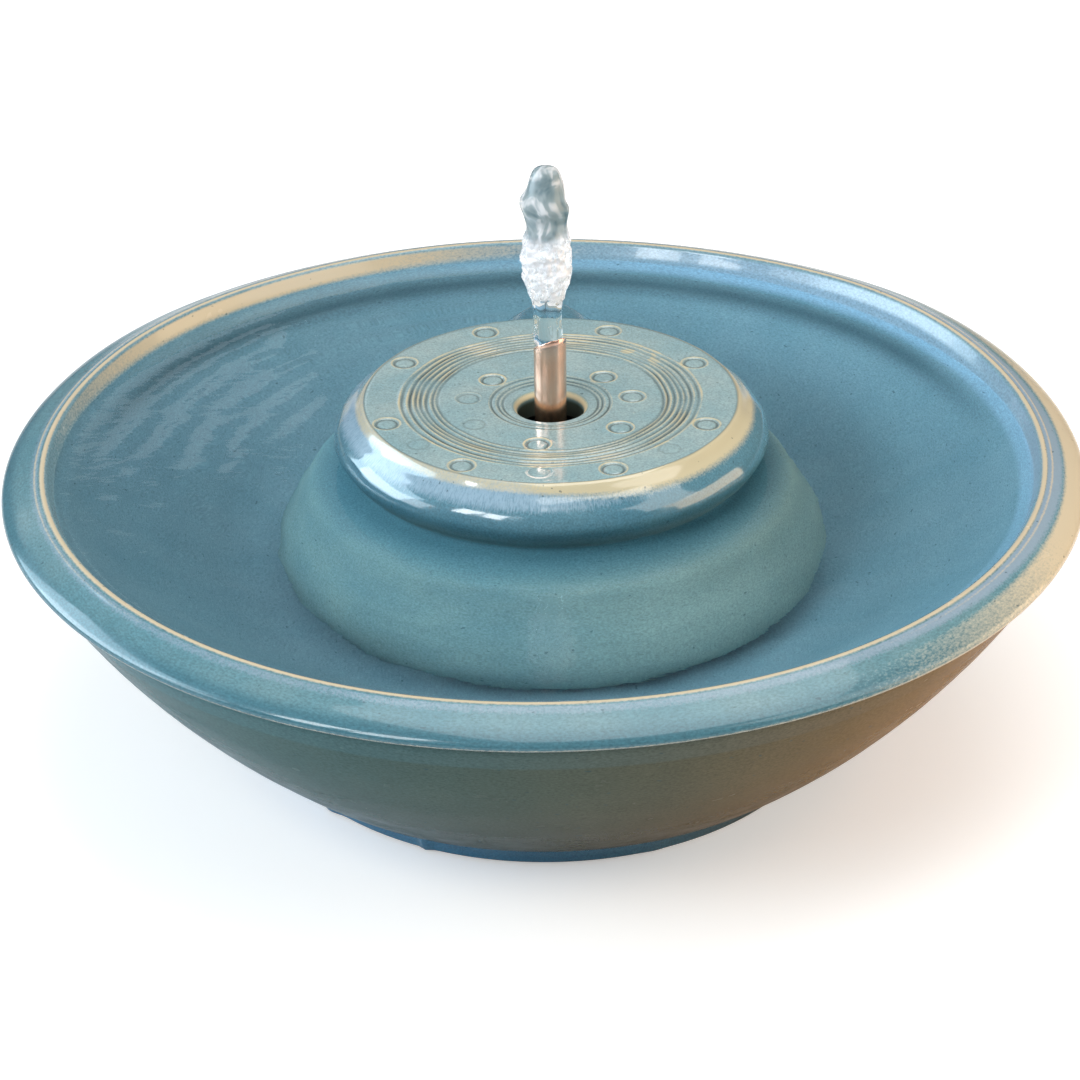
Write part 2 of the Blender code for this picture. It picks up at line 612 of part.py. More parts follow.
def build_plug():
    """A round low-voltage plug lying behind the bowl, its axis along X."""
    place = (PUMP_X, 131.0, 6.0)
    turn = (0, math.pi / 2, 0)
    body = [(CORD_R + GAP, -25.0), (2.9, -25.0), (3.3, -16.0), (4.9, -14.0), (5.4, -12.6),
            (5.4, 2.6), (4.9, 3.2), (3.2, 3.2), (3.2, -12.0), (CORD_R + GAP, -12.0)]
    add_object("plug_body", lathe_mesh(body, 20), "trim", place, turn)
    barrel = ring_profile(2.2, 2.75, -4.0, 12.6)
    add_object("plug_barrel", lathe_mesh(barrel, 20), "steel", place, turn)
    insulator = [(1.25, -3.0), (1.9, -3.0), (1.9, 12.8), (1.25, 12.8)]
    add_object("plug_insulator", lathe_mesh(insulator, 16), "insulator", place, turn)


def main():
    clear_scene()
    build_bowl()
    build_pump_cover()
    build_copper_spout()
    build_outlet_sleeve()
    build_water_jet()
    build_pump_housing()
    build_suction_cups()
    build_stator()
    build_rotor()
    build_volute_cover()
    build_chamber_seal()
    build_intake()
    build_back_plate()
    build_cord()
    build_plug()


main()
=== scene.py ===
"""Looks for the ceramic fountain: glazes, water, copper, pump plastics, floor, light and camera.

Lengths in the shape code are millimetres and become metres when a mesh is made.
The front is -Y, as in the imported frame.
"""

import math

import bpy
import numpy as np
from mathutils import Matrix, Vector, noise


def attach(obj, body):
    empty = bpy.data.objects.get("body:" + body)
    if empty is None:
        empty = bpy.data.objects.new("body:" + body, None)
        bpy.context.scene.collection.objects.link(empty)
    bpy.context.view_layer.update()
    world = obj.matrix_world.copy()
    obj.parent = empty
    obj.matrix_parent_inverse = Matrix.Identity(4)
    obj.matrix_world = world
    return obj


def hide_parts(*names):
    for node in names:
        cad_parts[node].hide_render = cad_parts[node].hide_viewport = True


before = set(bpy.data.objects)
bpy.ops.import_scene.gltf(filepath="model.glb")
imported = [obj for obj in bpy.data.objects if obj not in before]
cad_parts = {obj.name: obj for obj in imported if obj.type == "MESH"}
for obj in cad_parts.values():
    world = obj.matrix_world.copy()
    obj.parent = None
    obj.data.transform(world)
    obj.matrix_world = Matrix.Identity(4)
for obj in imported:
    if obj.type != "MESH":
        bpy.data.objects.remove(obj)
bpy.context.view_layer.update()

MM = 0.001

# Bowl and pool
FLOOR_Z = 16.0
SIDE_FOOT = (98.5, 11.8)
SIDE_BEND = (135.0, 43.0)  # where straight lines along the flare's two ends would meet
SIDE_TOP = (155.8, 82.0)
WATER_Z = 89.0
WATER_R = 146.3

# How the hand-thrown bowl stands off a true one at its rim, mm: left, back and up, the extra
# rise of its back, and its oval with the direction of the oval's long axis
LEAN = (-1.3, 0.4, 0.4)
BACK_RISE = 1.05
OVAL = 0.0045
OVAL_TURN = 0.14
# Where the hand-thrown rim stands higher: degrees round the bowl, width in degrees, lift in mm
CORNERS = [(37, 20, 1.6), (147, 17, 0.7)]
CORD_NOTCH_DEPTH = 2.0  # the groove over the back of the rim that the cord lies in

# Cover: its middle, and the hole's offset from it
COVER_X = 1.0
DISC_Z = 107.3
DISC_R = 55.7
HOLE_R = 9.7
HOLE_Y = -7.0
MOUSE_HOLE_R = 7.0  # the arch at the back of the cover's foot, and the height of its middle
MOUSE_HOLE_Z = 24.0

# The sections of the two turned profiles, in order along each profile
UNDER, RING, FOOT, SIDE, ROLL, INSIDE = range(6)
SKIRT, BEAD, DISC, HOLE, CEILING = range(5)

# Spout
SPOUT = (1.0, -7.0)
SPOUT_R = 4.7625
SPOUT_BORE_R = 3.95
SPOUT_TOP_Z = 127.8
SPOUT_BOTTOM_Z = 82.5
SPOUT_CUT = (0.33, -0.52)

# Ring stamps pressed into the disc: eight near its edge and seven round the hole. Each one
# strays from its even place by some degrees. Three faint ones lie between the outer eight.
STAMP_R = 3.55
STAMP_STEP = 45
OUTER_MIDDLE = (-0.8, -1.0)
OUTER_REACH = 50.0
OUTER_STRAY = [4, 0, 0, -7, -3, -7, -1, 0]
OUTER_STRENGTH = 0.95
FAINT_PLACES = [-141, -94, -46]
FAINT_STRENGTH = 0.28
INNER_REACH = 25.0
INNER_STRAY = [13, 5, None, -1, -13, -18, -9, 9]
INNER_STRENGTH = [0.8, 0.9, 0, 1.0, 0.5, 0.35, 1.0, 0.9]
DOT_PLACES = [-12, 72, 112, 153, 232, 295]
GROOVES = [33.6, 35.2, 36.9, 38.5, 40.2, 42.0, 43.9]
HOLE_GROOVES = [14.1, 15.5, 17.6]

# Runs of glaze on the foot: (angle in degrees, how far they stand out, width in degrees)
DRIPS = [(-137, 2.2, 2.2), (-114, 1.7, 1.0), (-70, 0.5, 2.0), (22, 0.8, 2.0), (108, 1.0, 2.4),
         (160, 0.7, 1.8)]

# The plume's outline as (height, radius), from the root inside the tube to the tip
PLUME_ROOT_Z = 118.0
PLUME = [(PLUME_ROOT_Z, 0.4), (118.4, 3.3), (126.0, 3.75), (129.5, 4.3), (140.0, 4.3),
         (148.0, 6.6), (155.5, 7.2), (166.5, 5.9), (171.5, 6.6), (178.0, 4.9), (181.5, 3.4),
         (182.7, 0.5)]
PLUME_LEAN = -0.7  # sideways, above the tube
PLUME_NOD = -0.8  # further sideways at the crown
CROWN_Z = 172.5

# Stage: how much brighter than its light the pale floor looks to the camera, the floor's half
# width and drop in metres, and the soft sky that lights the scene
FLOOR_LIFT = 0.36
FLOOR_HALF = 40.0
FLOOR_DROP = 0.0004
SKY_LOW = (0.34, 0.36, 0.38, 1)
SKY_HIGH = (0.95, 0.97, 1.0, 1)
SKY_STRENGTH = 0.40
BACKDROP = (0.93, 0.94, 0.95, 1)  # what the camera sees of the sky

# Camera, in metres and degrees
CAMERA_AT = (0.0, -0.7378, 0.46815)
CAMERA_PITCH = 29.06
CAMERA_YAW = -0.18
CAMERA_ROLL = -0.64
CAMERA_LENS = 91.9


# ---------------------------------------------------------------- mesh helpers

def smooth_curve(points, step):
    """Points about one step apart along a Catmull-Rom curve through the given ones."""
    pts = np.array(points, float)
    padded = np.vstack([2 * pts[0] - pts[1], pts, 2 * pts[-1] - pts[-2]])
    out = []
    for i in range(1, len(padded) - 2):
        before, start, end, after = padded[i - 1:i + 3]
        count = max(1, int(round(np.linalg.norm(end - start) / step)))
        for k in range(count):
            t = k / count
            out.append(0.5 * (2 * start + (end - before) * t
                              + (2 * before - 5 * start + 4 * end - after) * t * t
                              + (3 * start - before - 3 * end + after) * t ** 3))
    out.append(pts[-1])
    return np.array(out)


def flare(start, bend, end, steps):
    """Points along one quadratic curve that leaves start and reaches end in bend's direction."""
    t = np.linspace(0, 1, steps + 1)[:, None]
    return (1 - t) ** 2 * np.array(start) + 2 * t * (1 - t) * np.array(bend) + t ** 2 * np.array(end)


def chain(*sections):
    """Joins profile sections, keeping the shared corner points once."""
    parts = [sections[0]]
    for section in sections[1:]:
        parts.append(section[1:])
    return np.vstack(parts)


def labelled(*sections):
    """One profile made of its sections, and the section number of each of its points."""
    labels = np.concatenate([np.full(len(s) - (i > 0), i) for i, s in enumerate(sections)])
    return chain(*sections), labels


def grid_object(name, points, close_rows=False, cap_start=False, cap_end=False):
    """A surface from a (rows, columns, 3) grid whose columns wrap round, in millimetres."""
    rows, columns = points.shape[:2]
    verts = points.reshape(-1, 3) * MM
    row_pairs = rows if close_rows else rows - 1
    faces = []
    index = np.arange(rows * columns).reshape(rows, columns)
    for i in range(row_pairs):
        a = index[i]
        b = index[(i + 1) % rows]
        faces.append(np.column_stack([a, np.roll(a, -1), np.roll(b, -1), b]))
    faces = np.vstack(faces).tolist()
    if cap_start:
        faces.append(index[0][::-1].tolist())
    if cap_end:
        faces.append(index[-1].tolist())
    mesh = bpy.data.meshes.new(name)
    mesh.from_pydata(verts.tolist(), [], faces)
    mesh.shade_smooth()
    obj = bpy.data.objects.new(name, mesh)
    bpy.context.scene.collection.objects.link(obj)
    return obj


def add_vectors(obj, name, values):
    """Stores one vector per point for the materials to read."""
    attribute = obj.data.attributes.new(name, "FLOAT_VECTOR", "POINT")
    attribute.data.foreach_set("vector", np.ascontiguousarray(values, np.float32).ravel())


def add_floats(obj, name, values):
    """Stores one number per point for the materials to read."""
    attribute = obj.data.attributes.new(name, "FLOAT", "POINT")
    attribute.data.foreach_set("value", np.ascontiguousarray(values, np.float32).ravel())


def noise_at(points, scale, seed):
    """Smooth noise from -1 to 1 at each of the points, whose features are about scale wide."""
    offset = Vector((seed * 17.3, seed * 5.1, seed * 9.7))
    flat = points.reshape(-1, 3)
    values = [noise.noise(Vector(p) / scale + offset) for p in flat.tolist()]
    return np.array(values).reshape(points.shape[:-1])


def turn(profile, columns, centres=None):
    """A profile of (radius, z) turned about Z: its grid, and the angle of each column.

    centres shifts each ring in plan.
    """
    angle = np.linspace(0, 2 * math.pi, columns, endpoint=False)
    radius = profile[:, 0][:, None]
    x = radius * np.cos(angle)
    y = radius * np.sin(angle)
    z = np.repeat(profile[:, 1][:, None], columns, axis=1)
    if centres is not None:
        x = x + centres[:, 0][:, None]
        y = y + centres[:, 1][:, None]
    return np.dstack([x, y, z]), angle


def bump(value, centre, width):
    """One at the centre, fading over width to both sides."""
    return np.exp(-((value - centre) / width) ** 2)


def step_up(value, low, high):
    """Rises smoothly from 0 at low to 1 at high."""
    t = np.clip((value - low) / (high - low), 0, 1)
    return t * t * (3 - 2 * t)


def arc_length(profile):
    return np.concatenate([[0], np.cumsum(np.linalg.norm(np.diff(profile, axis=0), axis=1))])


# ---------------------------------------------------------------- material helpers

class Shader:
    """A node material with short calls for the nodes used here."""

    def __init__(self, name):
        self.material = bpy.data.materials.new(name)
        self.material.use_nodes = True
        self.tree = self.material.node_tree
        self.surface = self.tree.nodes["Principled BSDF"]
        self.output = self.tree.nodes["Material Output"]

    def add(self, kind, settings=None, **inputs):
        item = self.tree.nodes.new(kind)
        for key, value in (settings or {}).items():
            setattr(item, key, value)
        for key, value in inputs.items():
            self.feed(item, key.replace("_", " "), value)
        return item

    def feed(self, item, key, value):
        socket = item.inputs[int(key)] if key.isdigit() else item.inputs[key]
        if isinstance(value, bpy.types.NodeSocket):
            self.tree.links.new(value, socket)
        elif isinstance(value, (tuple, list)) and len(value) == 3 and socket.type == "RGBA":
            socket.default_value = (*value, 1.0)
        else:
            socket.default_value = value

    def set(self, **inputs):
        for key, value in inputs.items():
            self.feed(self.surface, key.replace("_", " "), value)

    def attribute(self, name, output="Fac"):
        return self.add("ShaderNodeAttribute", {"attribute_name": name}).outputs[output]

    def position(self):
        return self.add("ShaderNodeTexCoord").outputs["Object"]

    def stretch(self, vector, scale):
        mapping = self.add("ShaderNodeMapping", Vector=vector)
        mapping.inputs["Scale"].default_value = scale
        return mapping.outputs["Vector"]

    def noise(self, vector, scale, detail=3.0, roughness=0.55, distortion=0.0):
        return self.add("ShaderNodeTexNoise", Vector=vector, Scale=scale, Detail=detail,
                        Roughness=roughness, Distortion=distortion).outputs["Fac"]

    def ramp(self, value, stops):
        item = self.add("ShaderNodeValToRGB", Fac=value)
        ramp = item.color_ramp
        while len(ramp.elements) < len(stops):
            ramp.elements.new(0.5)
        for element, (place, colour) in zip(ramp.elements, stops):
            element.position = place
            if isinstance(colour, (int, float)):
                colour = (colour, colour, colour)
            element.color = (*colour, 1.0)
        return item.outputs["Color"]

    def mix(self, amount, first, second, blend="MIX"):
        item = self.add("ShaderNodeMix", {"data_type": "RGBA", "blend_type": blend})
        self.feed(item, "0", amount)
        self.feed(item, "6", first)
        self.feed(item, "7", second)
        return item.outputs[2]

    def math(self, operation, first, second=0.0, clamp=False):
        item = self.add("ShaderNodeMath", {"operation": operation, "use_clamp": clamp})
        self.feed(item, "0", first)
        self.feed(item, "1", second)
        return item.outputs[0]

    def bump(self, height, strength, distance, normal=None):
        item = self.add("ShaderNodeBump", Height=height, Strength=strength, Distance=distance)
        if normal is not None:
            self.feed(item, "Normal", normal)
        return item.outputs["Normal"]


def dress(obj, material, body, replaces=()):
    """Gives a piece its material, its body and the CAD nodes it stands for."""
    obj.data.materials.clear()
    obj.data.materials.append(material)
    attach(obj, body)
    if replaces:
        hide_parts(*replaces)


# ---------------------------------------------------------------- glaze

def grained(shader, mask, grain, low=0.38, high=0.62):
    """The mask with its soft edge broken into fine grains of glaze."""
    wide = shader.math("ADD", mask, shader.math("MULTIPLY", grain, 0.55))
    return shader.ramp(shader.math("SUBTRACT", wide, 0.275), [(low, 0.0), (high, 1.0)])


def glaze_layers(shader, colour, cream, lavender, streaky):
    """What both glazed pieces share: clouding, lavender bloom, cream breaks with some painted warm
    light, dark lines with some painted shade, specks.
    """
    flow = shader.attribute("flow", "Vector")
    grain = shader.noise(flow, 1700.0, 2.0, 0.6)
    fur = shader.noise(shader.stretch(flow, (2300, 2300, streaky)), 1.0, 3.0, 0.7)
    clouds = shader.noise(flow, 34.0, 4.0, 0.6)
    clouds = shader.ramp(clouds, [(0.35, 0.0), (0.68, 0.38)])
    colour = shader.mix(clouds, colour, shader.mix(1.0, colour, (0.70, 0.80, 0.84), "MULTIPLY"))
    mottle = shader.ramp(grain, [(0.30, 0.76), (0.70, 1.15)])
    colour = shader.mix(1.0, colour, mottle, "MULTIPLY")
    bloom = shader.math("MULTIPLY", grained(shader, shader.attribute("lavender"), fur), 0.72)
    colour = shader.mix(bloom, colour, lavender)
    breaks = grained(shader, shader.attribute("cream"), grain, 0.25, 0.75)
    colour = shader.mix(breaks, colour, cream)
    colour = shader.mix(shader.attribute("dark"), colour, (0.040, 0.055, 0.045))
    specks = shader.noise(flow, 640.0, 1.0, 0.4)
    specks = shader.ramp(specks, [(0.215, 0.55), (0.255, 0.0)])
    return shader.mix(specks, colour, (0.030, 0.075, 0.095)), flow


def finish_glaze(shader, colour, flow, roughness=0.16):
    fine = shader.noise(flow, 800.0, 2.0, 0.5)
    broad = shader.noise(flow, 60.0, 3.0, 0.5)
    normal = shader.bump(broad, 0.22, 0.0010)
    normal = shader.bump(fine, 0.14, 0.00012, normal)
    patch = shader.noise(flow, 90.0, 3.0, 0.6)
    rough = shader.ramp(patch, [(0.3, roughness * 0.8), (0.75, roughness * 1.9)])
    gloss = shader.attribute("gloss")
    shader.set(Base_Color=colour, Roughness=rough, Normal=normal)
    shader.set(Specular_IOR_Level=shader.math("MULTIPLY", gloss, 0.40))
    shader.set(Coat_Weight=shader.math("MULTIPLY", gloss, 0.40), Coat_Roughness=0.03)
    return shader.material


def bowl_glaze():
    shader = Shader("bowl_glaze")
    at = shader.attribute("flow", "Vector")
    wander = shader.noise(shader.stretch(at, (60, 60, 20)), 1.0, 3.0, 0.6)
    side = shader.ramp(wander, [(0.3, (0.044, 0.082, 0.068)), (0.7, (0.064, 0.096, 0.074))])
    side = shader.mix(shader.attribute("low"), side, (0.044, 0.056, 0.040))
    # The side's left is painted bluer as painted cool light from the left; its top band is a bluer
    # glaze
    side = shader.mix(shader.attribute("cool_light_and_blue_top"), side, (0.076, 0.178, 0.205))
    # Painted warm glow on the right of the side, where warm light from the right falls
    side = shader.mix(shader.attribute("painted_warm_glow"), side, (0.270, 0.135, 0.035))
    roll = shader.ramp(wander, [(0.3, (0.100, 0.245, 0.292)), (0.7, (0.150, 0.278, 0.308))])
    roll = shader.mix(shader.attribute("deep"), roll, (0.060, 0.170, 0.215))
    inside = shader.ramp(wander, [(0.3, (0.168, 0.308, 0.362)), (0.7, (0.200, 0.335, 0.389))])
    # Painted sky reflection: a bright periwinkle band on the back and right of the inner wall
    inside = shader.mix(shader.attribute("painted_sky_reflection"), inside, (0.30, 0.47, 0.62))
    # Painted shadow: a dark band on the back of the wall below the waterline
    inside = shader.mix(shader.attribute("painted_depth_shade"), inside, (0.046, 0.108, 0.135))
    foot = shader.ramp(wander, [(0.3, (0.060, 0.210, 0.350)), (0.7, (0.085, 0.255, 0.400))])
    # Painted warm glow on the right of the foot
    foot = shader.mix(shader.attribute("painted_warm_glow"), foot, (0.056, 0.054, 0.030))
    colour = shader.mix(shader.attribute("roll"), side, roll)
    colour = shader.mix(shader.attribute("inside"), colour, inside)
    colour = shader.mix(shader.attribute("foot"), colour, foot)
    colour, flow = glaze_layers(shader, colour, (0.58, 0.49, 0.34), (0.29, 0.37, 0.47),
                                1500)
    clay = shader.noise(flow, 500.0, 4.0, 0.7)
    clay = shader.ramp(clay, [(0.3, (0.24, 0.17, 0.11)), (0.7, (0.36, 0.27, 0.19))])
    colour = shader.mix(shader.attribute("clay"), colour, clay)
    return finish_glaze(shader, colour, flow)


def cover_glaze():
    shader = Shader("cover_glaze")
    at = shader.attribute("flow", "Vector")
    wander = shader.noise(at, 45.0, 4.0, 0.6)
    wall = shader.ramp(wander, [(0.3, (0.172, 0.300, 0.318)), (0.7, (0.228, 0.350, 0.342))])
    disc = shader.ramp(wander, [(0.32, (0.25, 0.39, 0.41)), (0.68, (0.35, 0.45, 0.44))])
    bead = shader.ramp(wander, [(0.3, (0.070, 0.205, 0.280)), (0.7, (0.105, 0.245, 0.305))])
    # Painted light: the skirt's right side is lighter where warm light falls
    wall = shader.mix(shader.attribute("painted_sunlit_side"), wall, (0.36, 0.46, 0.40))
    colour = shader.mix(shader.attribute("disc"), wall, disc)
    colour = shader.mix(shader.attribute("bead"), colour, bead)
    # Painted shade under the bead, on the bead's underside and the skirt's top
    colour = shader.mix(shader.attribute("painted_under_bead_shade"), colour, (0.080, 0.180, 0.215))
    colour, flow = glaze_layers(shader, colour, (0.56, 0.50, 0.33), (0.34, 0.48, 0.60),
                                500)
    return finish_glaze(shader, colour, flow, 0.11)


# ---------------------------------------------------------------- bowl

def bowl_profile():
    under = smooth_curve([(0.6, 6.5), (40, 6.5), (70, 6.5), (76.5, 6.0), (79, 3.0), (79.7, 0.7),
                          (80.6, 0.05)], 2.0)
    ring = smooth_curve([(80.6, 0.05), (84, 0), (87.0, 0.05)], 1.6)
    foot = smooth_curve([(87.0, 0.05), (87.8, 0.6), (88.6, 3.4), (90.6, 7.2), (94.4, 10.2),
                         (98.5, 11.8)], 0.8)
    side = chain(flare(SIDE_FOOT, SIDE_BEND, SIDE_TOP, 82),
                 smooth_curve([SIDE_TOP, (156.4, 83.9), (156.65, 85.3)], 1.1))
    roll = smooth_curve([(156.65, 85.3), (159.15, 85.6), (160.35, 87.0), (159.75, 88.4),
                         (157.35, 89.9), (153.55, 91.4), (150.05, 92.8), (148.15, 93.3),
                         (146.95, 92.9)], 0.40)
    inside = smooth_curve([(146.95, 92.9), (146.0, 91.0), (144.0, 87.4), (141.4, 83.4), (138.6, 78.0),
                           (132.8, 68.0), (123.6, 53.8), (113.2, 40.0), (103.4, 28.6),
                           (96.0, 21.9), (87.0, 17.3), (76.0, FLOOR_Z), (40, FLOOR_Z),
                           (0.6, FLOOR_Z)], 1.3)
    return labelled(under, ring, foot, side, roll, inside)


def build_bowl():
    profile, label = bowl_profile()
    columns = 420
    points, angle = turn(profile, columns)
    z = points[..., 2]
    radius = np.hypot(points[..., 0], points[..., 1])
    side = (label == SIDE)[:, None]
    roll = (label == ROLL)[:, None]
    inside = (label == INSIDE)[:, None]
    foot = (label == FOOT)[:, None]
    direction = np.dstack([np.cos(angle) + 0 * z, np.sin(angle) + 0 * z, 0 * z])

    wobble = noise_at(np.dstack([direction[..., 0] * 40, direction[..., 1] * 40, z]), 34.0, 1.0)
    push = 0.14 * wobble * step_up(z, 2, 30)
    rings = np.sin(z * 1.35 + 1.2 * wobble) * 0.006 + np.sin(z * 0.42 + 0.7) * 0.03
    push = push + rings * side
    push = push + (0.03 * np.sin(z * 0.75 + wobble) + 0.012 * np.sin(z * 1.9)) * inside
    push = push - 0.30 * bump(z, 84.9, 0.55) * (side | roll) * (radius < 157.5)
    crossing = bump(angle[None, :] * 150, math.pi / 2 * 150, 2.5) * step_up(z, 80.0, 86.0)
    crossing = CORD_NOTCH_DEPTH * crossing * ((label >= ROLL)[:, None] & (z > 79))
    drips = np.zeros((1, columns))
    for place, depth, width in DRIPS:
        drips += depth * around(angle, place, width)
    points = points + direction * push[..., None]
    hang = drips * foot * bump(z, 3.5, 4.0)
    points[..., :2] += direction[..., :2] * hang[..., None]
    outer_edge = step_up(radius, 155, 159.5)
    points[..., 2] -= crossing * (radius > 143) * (1 - 0.6 * outer_edge)
    points[..., :2] -= (crossing * outer_edge)[..., None] * direction[..., :2]
    upper = (roll | inside) & (z > 89)
    sides = 1 - around(angle, -95, 60)
    points[..., 2] -= 0.32 * bump(radius, 149.3, 0.40) * upper * sides
    points[..., 2] += 0.14 * bump(radius, 150.2, 0.35) * upper * sides
    ledge = bump(z, 86.6, 0.45) * roll * (radius > 158.5)
    points[..., :2] += 0.14 * direction[..., :2] * ledge[..., None]

    obj = grid_object("bowl_glazed", thrown(points), cap_start=True, cap_end=True)
    flow = np.dstack([direction[..., 0] * 90, direction[..., 1] * 90,
                      np.repeat(arc_length(profile)[:, None], columns, axis=1)]) * MM
    add_vectors(obj, "flow", flow.reshape(-1, 3))
    for name, values in bowl_masks(radius, z, angle, side, roll, inside, foot).items():
        add_floats(obj, name, np.clip(values * np.ones_like(z), 0, 1).ravel())
    add_floats(obj, "clay", ((label <= RING)[:, None] * np.ones_like(z)).ravel())
    gloss = roll + 0.06 * side + foot * 0.8 + inside * step_up(z, WATER_Z, WATER_Z + 1.0)
    add_floats(obj, "gloss", np.clip(gloss * np.ones_like(z), 0, 1).ravel())
    dress(obj, bowl_glaze(), "basin", ["bowl"])


def thrown(points, rise=1.0):
    """Points of a true bowl moved to where the hand-thrown one has them."""
    x, y, z = (points[..., i] for i in range(3))
    share = np.clip(z / 85.0, 0, None)
    oval = 1 + OVAL * share * np.cos(2 * (np.arctan2(y, x) - OVAL_TURN))
    lift = rise * share * (LEAN[2] + BACK_RISE * y / 150)
    for degrees, width, height in CORNERS:
        gap = (np.degrees(np.arctan2(y, x)) - degrees + 180) % 360 - 180
        lift = lift + rise * share * height * np.exp(-(gap / width) ** 2)
    return np.stack([x * oval + 0.5 * LEAN[0] * (1 + share), y * oval + LEAN[1] * share,
                     z + lift], axis=-1)


def around(angle, degrees, width):
    """One at an angle round the bowl, fading over width degrees to both sides."""
    gap = (np.degrees(angle) - degrees + 180) % 360 - 180
    return np.exp(-(gap / width) ** 2)[None, :]


def bowl_masks(radius, z, angle, side, roll, inside, foot):
    """Where each colour of the bowl's glaze and each painted light and shade shows, from 0 to 1."""
    right = around(angle, -6, 42)
    back_left = around(angle, 132, 40)
    left = around(angle, 195, 60)
    front_left = around(angle, 212, 34)
    back_right = around(angle, 58, 45)
    sides = 1 - around(angle, -95, 60)
    lip = 0.75 * sides * bump(radius, 150.3, 0.42) + 1.1 * bump(radius, 148.1, 0.75)
    lip = lip * (roll | inside) * (z > 89)
    ledge = bump(z, 86.5, 0.55) * roll * (radius > 158.8)
    inner = inside * step_up(z, 87.2, 89.6) * back_left
    # Cream on the right of the roll is partly the glaze and partly painted warm light from the right
    outer = roll * step_up(radius, 152.5, 155.5) * right
    spread = roll * step_up(radius, 148.6, 149.6) * (1 - step_up(radius, 150.5, 154.5))
    crease = bump(z, 11.8, 0.45) * (side | foot)
    seam = bump(z, 84.6, 0.9) * (side | roll) * (radius < 158.2)
    # Painted shadow band low on the back of the inner wall
    painted_depth_shade = inside * bump(z, 76.5, 5.0) * step_up(np.sin(angle)[None, :], 0.05, 0.60)
    return {
        "roll": roll * step_up(z, 85.6, 86.2) * step_up(radius, 147.5, 149.5),
        "inside": inside + roll * (1 - step_up(radius, 147.5, 149.5)),
        "foot": foot,
        "cream": lip + 0.42 * ledge + inner + 0.95 * outer,
        "dark": 0.80 * seam + 0.55 * crease,
        "painted_depth_shade": 0.85 * painted_depth_shade,
        "lavender": 0.50 * spread + 0.45 * inner + 0.5 * right * inside * step_up(z, 82, 90)
                    + 0.40 * right * roll,
        "deep": roll * (1 - right) * (step_up(radius, 154.5, 159.6)
                                      + 0.25 * front_left * step_up(radius, 150.5, 153)),
        # Painted sky reflection on the back and right of the inner wall
        "painted_sky_reflection": inside * step_up(z, 81.5, 85.0) * (0.80 * back_right + 0.35 * right),
        "low": side * (1 - step_up(z, 22, 66)),
        # Painted cool light on the left of the side, plus a bluer glaze round its top
        "cool_light_and_blue_top": side * left * 0.85 + side * (z > 76) * 0.3 * (1 - right),
        # Painted warm glow: the right of the side and foot, where warm light from the right falls
        "painted_warm_glow": (side | foot) * around(angle, -22, 46),
    }


# ---------------------------------------------------------------- cover

def cover_profile():
    skirt = smooth_curve([(66.4, 16.3), (71.6, 16.3), (75.5, 17.6), (79.3, 21), (81.8, 26),
                          (82.9, 32), (82.6, 38), (81.4, 44), (79.4, 51), (77.2, 57),
                          (75.4, 63), (73.9, 69), (72.0, 75), (68.8, 80), (64.2, 83.2),
                          (60.6, 85.2), (59.4, 87.2)], 1.2)
    bead = smooth_curve([(59.4, 87.2), (60.4, 89.4), (62.9, 92.0), (65.0, 96.0),
                         (63.8, 99.8), (60.8, 102.8), (58.5, 104.7), (56.6, 106.7),
                         (DISC_R, DISC_Z)], 0.5)
    disc_radii = np.arange(DISC_R, HOLE_R + 1.6, -0.36)
    disc = np.column_stack([disc_radii, np.full(len(disc_radii), DISC_Z)])
    hole = smooth_curve([disc[-1], (HOLE_R + 0.9, DISC_Z - 0.5), (HOLE_R + 0.2, DISC_Z - 1.6),
                         (HOLE_R, DISC_Z - 3.4), (HOLE_R, 99.7)], 0.5)
    ceiling = smooth_curve([(HOLE_R, 99.7), (20, 99.5), (38.0, 99.2), (48.0, 97.6),
                            (53.0, 94.8), (54.6, 91.0), (53.4, 87.6), (55.0, 84.0),
                            (60.4, 79.6), (64.6, 75.0), (66.8, 69.0), (68.8, 62.0),
                            (71.4, 55.0), (74.0, 48.0), (75.8, 41.0), (76.2, 34.0),
                            (74.8, 28.0), (70.4, 22.6)], 2.6)
    return labelled(skirt, bead, disc, hole, ceiling)


def stamp_places():
    """Middle and strength of each ring stamp, measured from the middle of the disc."""
    places = []
    for k, stray in enumerate(OUTER_STRAY):
        a = math.radians(STAMP_STEP * (k + 0.5) + stray)
        places.append((OUTER_MIDDLE[0] + OUTER_REACH * math.cos(a),
                       OUTER_MIDDLE[1] + OUTER_REACH * math.sin(a), OUTER_STRENGTH))
    faint_reach = 0.98 * OUTER_REACH
    for degrees in FAINT_PLACES:
        a = math.radians(degrees)
        places.append((faint_reach * math.cos(a), faint_reach * math.sin(a), FAINT_STRENGTH))
    for k, stray in enumerate(INNER_STRAY):
        if stray is None:
            continue
        a = math.radians(STAMP_STEP * k + stray)
        places.append((INNER_REACH * math.cos(a), HOLE_Y + INNER_REACH * math.sin(a),
                       INNER_STRENGTH[k]))
    return places


def stamp_marks(x, y):
    """Height and colour of the stamped rings at disc points measured from its middle."""
    height = np.zeros_like(x)
    cream = np.zeros_like(x)
    dark = np.zeros_like(x)
    for middle_x, middle_y, strength in stamp_places():
        d = np.hypot(x - middle_x, y - middle_y)
        ring = STAMP_R - 0.45
        height += strength * (-0.42 * bump(d, ring, 0.42) + 0.20 * bump(d, ring + 1.0, 0.5))
        height += strength * 0.10 * bump(d, 0, 1.9)
        dark += strength * 0.85 * bump(d, ring - 0.05, 0.36)
        cream += strength * 0.8 * bump(d, ring + 0.9, 0.42)
    for degrees in DOT_PLACES:
        a = math.radians(degrees)
        d = np.hypot(x - INNER_REACH * math.cos(a), y - HOLE_Y - INNER_REACH * math.sin(a))
        height += 0.12 * bump(d, 0, 0.9)
        cream += 0.35 * bump(d, 0, 0.8)
    return height, cream, dark


